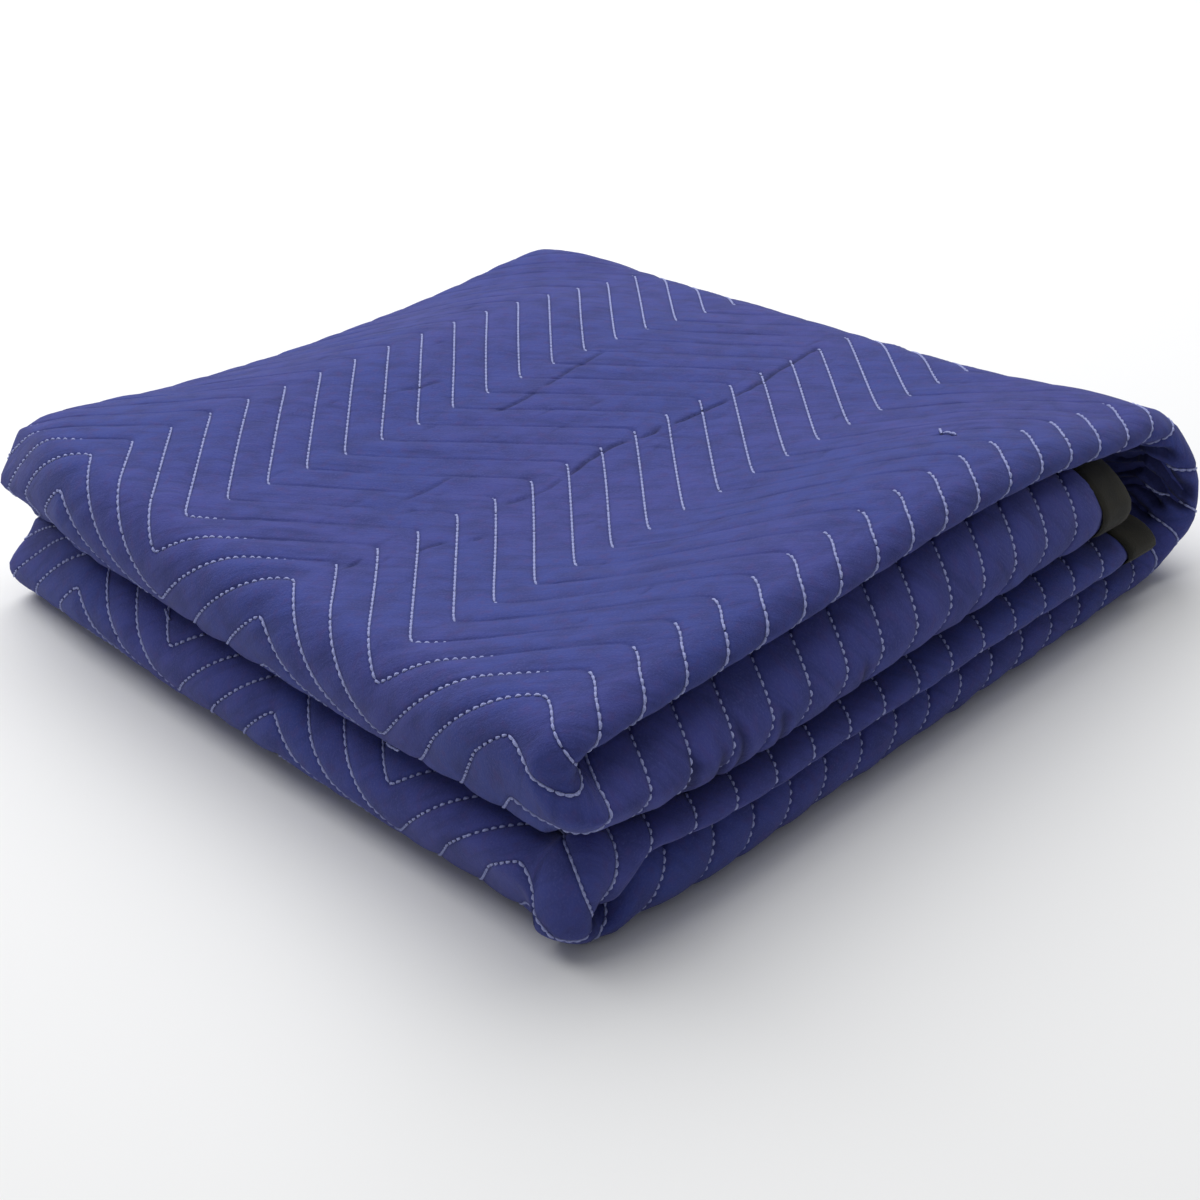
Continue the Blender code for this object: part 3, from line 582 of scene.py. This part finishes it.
def in_view(slides):
    """Whether rows come round where the stack is open: on its turns and its top."""
    lower = (slides > SPAN_STARTS[1] - BEFORE_OPEN) & (slides < SPAN_STARTS[2] + PAST_OPEN)
    upper = (slides > SPAN_STARTS[3] - BEFORE_OPEN) & (slides < SPAN_STARTS[6] + PAST_OPEN)
    return lower | upper


def crease_points(lines, slides):
    """Points beside the creases, so that the mesh follows them."""
    places, numbers = [line[0] for line in lines], [line[2] for line in lines]
    count = np.arange(len(slides))
    points = []
    for _, width, crease in CREASES:
        for start, end in zip(crease, crease[1:]):
            step = np.linalg.norm(end - start)
            aside = width * np.array([start[1] - end[1], end[0] - start[0]]) / step
            for share in np.arange(0, 1, CREASE_STEP / step):
                for side in CREASE_SIDES:
                    spot = start + (end - start) * share + side * aside
                    slid = spot[0] - zigzag(spot[1:])[0]
                    number = np.interp(spot[1], places, numbers)
                    points.append((slid, spot[1], np.interp(slid, slides, count), number))
    return points


def layout_points():
    """The cloth's points: how far each is slid along, where round, and its column and line."""
    slides = np.array([FIRST_ROW + (row + part) * ROW_STEP for row in ROWS for part in ACROSS_ROW])
    count = np.arange(len(slides))
    per_row = len(ACROSS_ROW)
    middle = slides + ZIGZAG_REACH / 2
    in_turn = np.zeros(len(slides), bool)
    for span in (1, 3, 5):
        in_turn |= (middle > SPAN_STARTS[span] - 0.05) & (middle < SPAN_STARTS[span + 1] + 0.05)
    coarse = np.where(in_turn, np.isin(count % per_row, (0, 2, 4, 7)), count % (2 * per_row) == 0)
    wide = (slides > SPAN_STARTS[3] - 0.12) & (slides < SPAN_STARTS[4] + 0.03)
    every, none = np.ones(len(slides), bool), np.zeros(len(slides), bool)
    fine = {"front": every, "top": in_view(slides), "deep": wide, "coarse": none}
    lines = around_lines()
    top_lines = [line for line in lines if line[1] == "top"]
    sparse = top_lines[::14] + [line for line in top_lines if line[0] > ROUND_STARTS[3] - 1e-6][::2]
    points = []
    for line in lines:
        place, kind, number = line
        used = fine[kind].copy()
        at_cut = number in (lines[0][2], lines[-1][2])
        thin = kind == "coarse" or at_cut or line in sparse
        if thin:
            used |= coarse
        if at_cut:
            used |= wide
        slid = slides[used]
        along = along_of(slid, np.full(len(slid), place))
        bound = TAPE_WIDTH + BOUND_RAMP + 0.003
        inside = (along > bound) & (along < STRIP - bound)
        points += [(s, place, i, number) for s, i in zip(slid[inside], count[used][inside])]
        if kind == "front" or thin:
            grips = (0.0, TAPE_WIDTH, TAPE_WIDTH + BOUND_RAMP)
            for stop in [*grips, *(STRIP - grip for grip in grips)]:
                s = stop - zigzag(np.array([place]))[0]
                points.append((s, place, np.interp(s, slides, count), number))
    return np.array(points + crease_points(lines, slides))


def meshed(points):
    """Each point's length along the strip, the triangles, and the two cut ends' points."""
    slid, around, column, number = points.T
    along = along_of(slid, around)
    for stop in (0.0, TAPE_WIDTH, TAPE_WIDTH + BOUND_RAMP):
        for grip in (stop, STRIP - stop):
            along[np.abs(slid + zigzag(around) - grip) < 1e-7] = grip
    ends = [np.flatnonzero(along == end) for end in (0.0, STRIP)]
    ends = [found[np.argsort(around[found])] for found in ends]
    lines = [pair for found in ends for pair in zip(found.tolist(), found[1:].tolist())]
    flat = delaunay_2d_cdt([Vector(spot) for spot in zip(column, number)], lines, [], 0, 1e-6)
    source = np.array([origins[0] for origins in flat[3]])
    triangles = source[np.array(flat[2])]
    middle_column, middle_number = column[triangles].mean(axis=1), number[triangles].mean(axis=1)
    low, high = [np.interp(middle_number, number[found], column[found]) for found in ends]
    return along, triangles[(middle_column > low) & (middle_column < high)], ends


def joined(points):
    """Each point's vertex: the section's last line is its first one again."""
    number = np.where(points[:, 3] == points[:, 3].max(), 0.0, points[:, 3])
    keys = np.round(np.stack([points[:, 2], number], axis=1), 4)
    _, first, vertex = np.unique(keys, axis=0, return_index=True, return_inverse=True)
    return first, vertex.reshape(-1)


def shaped(name, vertices, faces, material):
    """A smooth-shaded mesh object at the origin."""
    mesh = bpy.data.meshes.new(name)
    mesh.from_pydata(np.asarray(vertices).tolist(), [], np.asarray(faces).tolist())
    mesh.materials.append(material)
    mesh.shade_smooth()
    thing = bpy.data.objects.new(name, mesh)
    bpy.context.scene.collection.objects.link(thing)
    return thing


points = layout_points()
along, triangles, ends = meshed(points)
slid, around = points[:, 0], points[:, 1]
lift = face_lift(slid, along, around)
first, vertex = joined(points)
places = folded(along, around, lift)[first]
places[:, 2] = np.maximum(places[:, 2], 0.0)
faces = [vertex[triangles]]
for found in ends:
    rim = found[:-1]
    outline = [Vector(spot) for spot in zip(*section(along[rim], around[rim], np.zeros(len(rim))))]
    closed = delaunay_2d_cdt(outline, [], [list(range(len(rim)))], 1, 1e-9)
    cap = np.array([origins[0] for origins in closed[3]])[np.array(closed[2])]
    faces.append(vertex[rim[cap]])
faces = np.vstack(faces)


class Wire:
    """A socket of a node tree that plain arithmetic can be done with."""

    def __init__(self, tree, socket=None):
        self.tree = tree
        self.socket = socket

    def node(self, kind, inputs, out=0, **settings):
        """A new node fed by these inputs, as the wire from one of its outputs."""
        made = self.tree.nodes.new(kind)
        for name, value in settings.items():
            setattr(made, name, value)
        for name, value in inputs.items():
            self.feed(made.inputs[name], value)
        return Wire(self.tree, made.outputs[out])

    def feed(self, socket, value):
        if isinstance(value, Wire):
            self.tree.links.new(value.socket, socket)
        else:
            socket.default_value = value

    def sum(self, operation, one, two):
        return self.node("ShaderNodeMath", {0: one, 1: two}, operation=operation)

    def __add__(self, other):
        return self.sum("ADD", self, other)

    def __radd__(self, other):
        return self.sum("ADD", other, self)

    def __sub__(self, other):
        return self.sum("SUBTRACT", self, other)

    def __rsub__(self, other):
        return self.sum("SUBTRACT", other, self)

    def __mul__(self, other):
        return self.sum("MULTIPLY", self, other)

    def __rmul__(self, other):
        return self.sum("MULTIPLY", other, self)

    def within(self, low, high):
        """Rises from 0 to 1 between two values."""
        ends = {"From Min": low, "From Max": high}
        return self.node("ShaderNodeMapRange", {"Value": self, **ends}, interpolation_type="SMOOTHSTEP")

    def noise(self, scale, detail=2.0, roughness=0.5):
        """Noise from 0 to 1 at these coordinates."""
        sizes = {"Scale": scale, "Detail": detail, "Roughness": roughness}
        return self.node("ShaderNodeTexNoise", {"Vector": self, **sizes})

    def mixed(self, one, two):
        """One colour turning into the other as this goes from 0 to 1."""
        return self.node("ShaderNodeMix", {0: self, 6: one, 7: two}, out=2, data_type="RGBA")

    def bump(self, distance, under=None):
        """Normals for this height, over those of another bump."""
        inputs = {"Height": self, "Distance": distance}
        if under:
            inputs["Normal"] = under
        return self.node("ShaderNodeBump", inputs)


def finish_material(name, roughness, sheen, paint):
    """A cloth material. paint gives the base colour and normal from its coordinates."""
    material = bpy.data.materials.new(name)
    material.use_nodes = True
    tree = material.node_tree
    shader = tree.nodes["Principled BSDF"]
    shader.inputs["Roughness"].default_value = roughness
    shader.inputs["Specular IOR Level"].default_value = 0.15
    shader.inputs["Sheen Weight"].default_value = sheen
    shader.inputs["Sheen Roughness"].default_value = 0.5
    start = Wire(tree)
    colour, normal = paint(start)
    start.feed(shader.inputs["Base Color"], colour)
    start.feed(shader.inputs["Normal"], normal)
    return material


def quilt_paint(start):
    layout = start.node("ShaderNodeUVMap", {}, uv_map="layout")
    painted_groove_shade = start.node("ShaderNodeAttribute", {}, out="Fac", attribute_name="painted_groove_shade")
    crease = start.node("ShaderNodeAttribute", {}, out="Fac", attribute_name="crease")
    places = [start.node("ShaderNodeSeparateXYZ", {0: layout}, out=axis) for axis in (0, 1)]
    with_legs = (places[0] * LEG_ALONG + places[1] * LEG_AROUND) * 26.0
    across_legs = (places[0] * LEG_AROUND - places[1] * LEG_ALONG) * 150.0
    streak = start.node("ShaderNodeCombineXYZ", {0: with_legs, 1: across_legs}).noise(1.0, 3.0, 0.6)
    blotch = layout.noise(9.0, 3.0)
    patch = layout.noise(55.0, 3.0, 0.6)
    tint = layout.noise(170.0, 2.0)
    fuzz = layout.noise(900.0, 2.0, 0.7)
    fibre = layout.noise(2600.0, 1.0)
    blue = blotch.within(0.35, 0.65).mixed((0.044, 0.062, 0.262, 1), (0.056, 0.064, 0.262, 1))
    worn = patch.within(0.35, 0.75).mixed(blue, (0.040, 0.048, 0.190, 1))
    flecked = fuzz.within(0.45, 0.80).mixed(worn, (0.070, 0.080, 0.270, 1))
    warm = (tint.within(0.48, 0.8) * 0.6).mixed(flecked, (0.066, 0.054, 0.205, 1))
    streaky = (streak.within(0.45, 0.75) * 0.5).mixed(warm, (0.030, 0.038, 0.150, 1))
    # Painted shade: the cloth is darkened along the sunk grooves of the rows.
    sunk = (painted_groove_shade * 0.4).mixed(streaky, (0.018, 0.022, 0.100, 1))
    # Painted shade: the creases are darkened almost to black where they are deepest.
    colour = (crease * 0.75).mixed(sunk, (0.012, 0.014, 0.060, 1))
    coarse = (patch * 0.5 + streak * 0.5).bump(0.0014)
    normal = (fuzz * 0.7 + fibre * 0.3).bump(0.0005, coarse)
    return colour, normal


# How much fainter the painted shade along a row's groove is on closed rows, and the depth at which the
# painted shade in a crease is darkest.
FAINTER_GROOVE_SHADE = 0.6
DARK_DEPTH = 0.0011

quilt_blue = finish_material("quilt_blue", 0.92, 0.08, quilt_paint)
cloth = shaped("cloth", places, faces, quilt_blue)
mesh = cloth.data
corners = np.concatenate([triangles.reshape(-1), first[faces[len(triangles):]].reshape(-1)])
layout = mesh.uv_layers.new(name="layout")
layout.data.foreach_set("uv", np.stack([along[corners], around[corners]], axis=1).reshape(-1))
# Painted shade along the rows' grooves, fainter where the thread is drawn in.
phase = (slid - FIRST_ROW) / ROW_STEP
painted_groove_shade = 1 - eased(8 * np.abs(phase - np.round(phase)))
painted_groove_shade *= 1 - FAINTER_GROOVE_SHADE * drawn_in(along, around)
# Painted shade in the creases, growing with their depth.
painted_crease_shade = np.minimum(1.0, crease_depth(along, around, CREASES) / DARK_DEPTH)
for name, values in (("painted_groove_shade", painted_groove_shade), ("crease", painted_crease_shade)):
    mesh.attributes.new(name, "FLOAT", "POINT").data.foreach_set("value", values[first])

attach(cloth, "root")
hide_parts("quilted_cloth")

# ---- The quilting thread ----
# Thick pale thread in stitches 4 mm long, lying in the bottom of every row. One leg of each
# zigzag shows as an almost unbroken line. The other is drawn down into the cloth, except near
# the left turns, where it shows as separate stitches.

STITCH = 0.0042         # from one stitch to the next
STITCH_LENGTH = 0.0044
THREAD = 0.0018         # its thickness
ABOVE_ROW = 0.3         # the thread's height above the bottom of a row, in millimetres
DRAWN_DEPTH = 2.1       # how much deeper it lies where it is drawn in
TUCKED_DEPTH = 0.5      # and on the folds under the top layer

# Ends of thread left lying on the cloth: length along the strip and round the section.
LOOSE_ENDS = (
    (1.1432, 0.5949, 1.1466, 0.5915, 1.1462, 0.5860, 1.1474, 0.5800),
    (0.4175, 0.8581, 0.4190, 0.8545, 0.4200, 0.8510),
    (1.5144, 0.6550, 1.5160, 0.6510, 1.5150, 0.6480),
)


def thread_rows():
    """Every row that is seen: points along it, their way forward, their way out and their size."""
    found = []
    for row in ROWS:
        slid = FIRST_ROW + row * ROW_STEP
        rounds = np.arange(SHOWN_FROM + 0.006, BACK_END - 0.006, 0.0008)
        slides = np.full(len(rounds), slid)
        lengths = along_of(slides, rounds)
        inside = (lengths > TAPE_WIDTH + 0.004) & (lengths < STRIP - TAPE_WIDTH - 0.004)
        if not in_view(slid):
            inside &= rounds < HIDDEN_FROM
        if inside.sum() < 20:
            continue
        rounds, slides, lengths = rounds[inside], slides[inside], lengths[inside]
        lifts = face_lift(slides, lengths, rounds)
        low, high = folded(lengths, rounds, lifts), folded(lengths, rounds, lifts + 0.001)
        past_turns = eased((low[:, 0] - DOTTED_TO_X) / 0.035)
        drawn = crosswise(rounds) * past_turns
        under_top = (lengths < SPAN_STARTS[3]) | (lengths > SPAN_STARTS[6])
        tucked = np.where(under_top, past_turns, 0.0)
        low += (high - low) * (ABOVE_ROW - drawn * DRAWN_DEPTH - tucked * TUCKED_DEPTH)[:, None]
        full = (1 - 0.35 * crosswise(rounds)) * (1 - 0.25 * tucked)
        found.append((low, np.gradient(low, axis=0), high - low, full))
    for ends in LOOSE_ENDS:
        stops = np.reshape(ends, (-1, 2))
        steps = np.linspace(0, len(stops) - 1, 12 * len(stops))
        lengths, rounds = [np.interp(steps, range(len(stops)), stops[:, axis]) for axis in (0, 1)]
        low, high = [folded(lengths, rounds, np.full(len(steps), lift)) for lift in (0.0006, 0.0016)]
        found.append((low, np.gradient(low, axis=0), high - low, np.full(len(steps), 1.25)))
    return found


def stitches(rows):
    """Middle, direction, way out and length of every stitch."""
    shuffled = np.random.default_rng(11)
    middles, forwards, outwards, sizes = [], [], [], []
    for spots, forward, outward, full in rows:
        length = np.concatenate([[0], np.cumsum(np.linalg.norm(np.diff(spots, axis=0), axis=1))])
        stops = np.arange(STITCH * shuffled.random(), length[-1], STITCH)
        stops = stops + shuffled.normal(0, 0.0003, len(stops))
        middles.append(np.stack([np.interp(stops, length, spots[:, axis]) for axis in range(3)], 1))
        forwards.append(np.stack([np.interp(stops, length, forward[:, axis]) for axis in range(3)], 1))
        outwards.append(np.stack([np.interp(stops, length, outward[:, axis]) for axis in range(3)], 1))
        sizes.append(shuffled.normal(1.0, 0.06, len(stops)) * np.interp(stops, length, full))
    return [np.concatenate(part) for part in (middles, forwards, outwards, sizes)]


def one_stitch():
    """A short bowed piece of thread along X, both its ends sunk."""
    rings, sides = 4, 4
    spots, sheets = [], []
    for ring in range(rings):
        share = ring / (rings - 1)
        rise = 0.00055 * math.sin(math.pi * share) - 0.00015
        thick = THREAD / 2 * (0.55 + 0.45 * math.sin(math.pi * share))
        for side in range(sides):
            turn = 2 * math.pi * (side + 0.5) / sides
            across, up = thick * math.cos(turn), rise + thick * math.sin(turn)
            spots.append(((share - 0.5) * STITCH_LENGTH, across, up))
    for ring in range(rings - 1):
        for side in range(sides):
            one, two = ring * sides + side, ring * sides + (side + 1) % sides
            sheets += [(one, one + sides, two + sides), (one, two + sides, two)]
    return spots, sheets


def thread_paint(start):
    place = start.node("ShaderNodeTexCoord", {}, out="Object")
    strand = place.noise(1500.0, 2.0)
    colour = strand.within(0.3, 0.7).mixed((0.23, 0.26, 0.52, 1), (0.36, 0.39, 0.68, 1))
    return colour, strand.bump(0.0002)


middles, forwards, outwards, sizes = stitches(thread_rows())
thread_pale = finish_material("thread_pale", 0.7, 0.1, thread_paint)
stitch_shape = shaped("stitch_shape", *one_stitch(), thread_pale)
stitch_shape.hide_render = True
thread = shaped("thread", middles, [], thread_pale)
for name, values in (("forward", forwards), ("outward", outwards)):
    attribute = thread.data.attributes.new(name, "FLOAT_VECTOR", "POINT")
    attribute.data.foreach_set("vector", values.reshape(-1))
thread.data.attributes.new("size", "FLOAT", "POINT").data.foreach_set("value", sizes)


def stitch_nodes(shape, material):
    """Nodes that put a stitch on every point."""
    tree = bpy.data.node_groups.new("sewn", "GeometryNodeTree")
    tree.interface.new_socket("Geometry", in_out="INPUT", socket_type="NodeSocketGeometry")
    tree.interface.new_socket("Width", in_out="INPUT", socket_type="NodeSocketFloat")
    tree.interface.new_socket("Geometry", in_out="OUTPUT", socket_type="NodeSocketGeometry")
    given = tree.nodes.new("NodeGroupInput")
    start = Wire(tree)
    named = "GeometryNodeInputNamedAttribute"
    forward = start.node(named, {"Name": "forward"}, data_type="FLOAT_VECTOR")
    outward = start.node(named, {"Name": "outward"}, data_type="FLOAT_VECTOR")
    size = start.node(named, {"Name": "size"}, data_type="FLOAT")
    axes = {"Primary Axis": forward, "Secondary Axis": outward}
    turned = start.node("FunctionNodeAxesToRotation", axes, primary_axis="X", secondary_axis="Z")
    width = Wire(tree, given.outputs["Width"])
    scale = start.node("ShaderNodeCombineXYZ", {"X": size, "Y": width, "Z": width})
    info = start.node("GeometryNodeObjectInfo", {"Object": shape}, out="Geometry")
    sewn = {"Points": Wire(tree, given.outputs["Geometry"]), "Instance": info}
    sewn.update({"Rotation": turned, "Scale": scale})
    placed_stitches = start.node("GeometryNodeInstanceOnPoints", sewn)
    real = start.node("GeometryNodeRealizeInstances", {"Geometry": placed_stitches})
    painted = start.node("GeometryNodeSetMaterial", {"Geometry": real, "Material": material})
    start.feed(tree.nodes.new("NodeGroupOutput").inputs["Geometry"], painted)
    return tree


def grown(thing, tree, **settings):
    """The object's mesh replaced by what the nodes make of it."""
    step = thing.modifiers.new("grown", "NODES")
    step.node_group = tree
    for socket in tree.interface.items_tree:
        if socket.name in settings:
            step[socket.identifier] = settings[socket.name]
    bpy.context.view_layer.update()
    evaluated = thing.evaluated_get(bpy.context.evaluated_depsgraph_get())
    made = bpy.data.meshes.new_from_object(evaluated)
    thing.modifiers.clear()
    thing.data = made
    made.shade_smooth()


grown(thread, stitch_nodes(stitch_shape, thread_pale), Width=1.0)
bpy.data.objects.remove(stitch_shape)
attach(thread, "root")

# ---- The tape bound over the edges ----
# Black woven tape, folded over each edge of the cloth so that 25 mm shows on both faces, and
# sewn down along its lips. There are four lengths of it, one to an edge.

TAPE = 0.001            # its thickness
TAPE_GAP = 0.0004       # between the tape and the cloth
CORNER_GAP = 0.001      # between two lengths of tape at a corner
END_TAPE_STEP = 0.005   # how finely it is meshed along its length
SIDE_TAPE_STEP = 0.004
TAPE_INNER = BOUND_PLY / 2 + TAPE_GAP


def tape_ring(edge, outward):
    """The U's outline: place across the edge and offset from the ply's middle."""
    lip = edge - outward * TAPE_WIDTH
    steps = np.linspace(0.0, 1.0, 6)
    outer = [(lip + (edge - lip) * step, TAPE_INNER + TAPE * min(1.0, 0.5 + step * 3)) for step in steps]
    reach = TAPE_GAP + TAPE
    for turn in (60.0, 30.0, 0.0):
        angle = math.radians(turn)
        offset = (TAPE_INNER + TAPE) * math.sin(angle) ** 0.7
        outer.append((edge + outward * reach * math.cos(angle), offset))
    outer += [(across, -offset) for across, offset in outer[-2::-1]]
    wall = edge + outward * TAPE_GAP
    inner = [(lip, -TAPE_INNER), (wall, -TAPE_INNER), (wall, TAPE_INNER), (lip, TAPE_INNER)]
    return np.array(outer + inner)


def swept(rings):
    """A closed body through equal rings of points, its two ends filled."""
    rings = np.array(rings)
    corners = rings.shape[1]
    found = []
    for ring in range(len(rings) - 1):
        for corner in range(corners):
            one = ring * corners + corner
            two = ring * corners + (corner + 1) % corners
            found += [(one, two, two + corners), (one, two + corners, one + corners)]
    outer = corners - 4
    half = outer // 2
    for start in (0, (len(rings) - 1) * corners):
        for place in range(half):
            near = outer + 3 if place < half // 2 else outer + 2
            found.append((start + place, start + place + 1, start + near))
            far = outer if place < half // 2 else outer + 1
            found.append((start + outer - 1 - place, start + outer - 2 - place, start + far))
        found.append((start + half // 2, start + outer + 3, start + outer + 2))
        found.append((start + outer - 1 - half // 2, start + outer, start + outer + 1))
        found.append((start + half, start + outer + 1, start + outer + 2))
    return rings.reshape(-1, 3), found


def tape_paint(start):
    place = start.node("ShaderNodeTexCoord", {}, out="Object")
    weave = place.noise(1400.0, 2.0)
    patch = place.noise(60.0, 2.0)
    colour = patch.within(0.3, 0.7).mixed((0.010, 0.010, 0.008, 1), (0.022, 0.020, 0.014, 1))
    return colour, weave.bump(0.0004)


binding_black = finish_material("binding_black", 0.75, 0.1, tape_paint)
tapes = []
one_face = ROUND_STARTS[EDGE_AFTER[0] + 1] - EDGES[EDGE_AFTER[0]]
for node, end, outward in (("binding_end_lower", 0.0, -1), ("binding_end_upper", STRIP, 1)):
    ring = tape_ring(end, outward)
    rings = []
    for place in np.arange(0.0, one_face + 1e-6, END_TAPE_STEP):
        place = np.full(len(ring), place)
        rings.append(folded(ring[:, 0], place, ring[:, 1] - BOUND_PLY / 2))
    tapes.append((node, rings))
side_tapes = (("binding_side_outer", -1.5, OUTER_EDGE_Y), ("binding_side_inner", -0.5, INNER_EDGE_Y))
for node, ply, edge in side_tapes:
    ring = tape_ring(edge, 1)
    rings = []
    for place in np.arange(TAPE_WIDTH + CORNER_GAP, STRIP - TAPE_WIDTH - CORNER_GAP, SIDE_TAPE_STEP):
        rings.append(placed(np.full(len(ring), place), ring[:, 0], ply * PLY_STEP + ring[:, 1]))
    tapes.append((node, rings))
for node, rings in tapes:
    tape = shaped(node.replace("binding", "tape"), *swept(rings), binding_black)
    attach(tape, "root")
    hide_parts(node)

# ---- The pale studio ----
# A plain pale floor, an even surround and one broad lamp from above and behind.

world = bpy.data.worlds.new("surround")
bpy.context.scene.world = world
world.use_nodes = True
surround = world.node_tree.nodes["Background"]
surround.inputs["Color"].default_value = (0.96, 0.98, 1.0, 1.0)
surround.inputs["Strength"].default_value = 0.26

floor_mesh = bpy.data.meshes.new("floor")
reach = 12.0
floor_corners = [(-reach, -reach, 0), (reach, -reach, 0), (reach, reach, 0), (-reach, reach, 0)]
floor_mesh.from_pydata(floor_corners, [], [(0, 1, 2, 3)])
floor = bpy.data.objects.new("floor", floor_mesh)
bpy.context.scene.collection.objects.link(floor)
pale = bpy.data.materials.new("pale_floor")
pale.use_nodes = True
shader = pale.node_tree.nodes["Principled BSDF"]
shader.inputs["Base Color"].default_value = (0.86, 0.86, 0.86, 1)
shader.inputs["Roughness"].default_value = 1.0
floor_mesh.materials.append(pale)
floor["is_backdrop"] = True

lamp_data = bpy.data.lights.new("broad lamp", "AREA")
lamp_data.size = 3.2
lamp_data.energy = 76.0
lamp = bpy.data.objects.new("broad lamp", lamp_data)
lamp.location = (0.32, 0.80, 1.90)
lamp.rotation_euler = (Vector((0, 0, 0.08)) - lamp.location).to_track_quat("-Z", "Y").to_euler()
bpy.context.scene.collection.objects.link(lamp)

camera_data = bpy.data.cameras.new("camera")
camera_data.lens = 60.61
camera_data.sensor_width = 36.0
camera = bpy.data.objects.new("camera", camera_data)
camera.location = (-0.6666, -0.7697, 0.6069)
camera.rotation_euler = [math.radians(turn) for turn in (58.679, 3.861, -43.664)]
bpy.context.scene.collection.objects.link(camera)
bpy.context.scene.camera = camera
bpy.context.scene.view_settings.view_transform = "Standard"

shown_low, shown_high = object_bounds()
sizes = {"cad": [list(cad_low), list(cad_high)], "scene": [list(shown_low), list(shown_high)]}
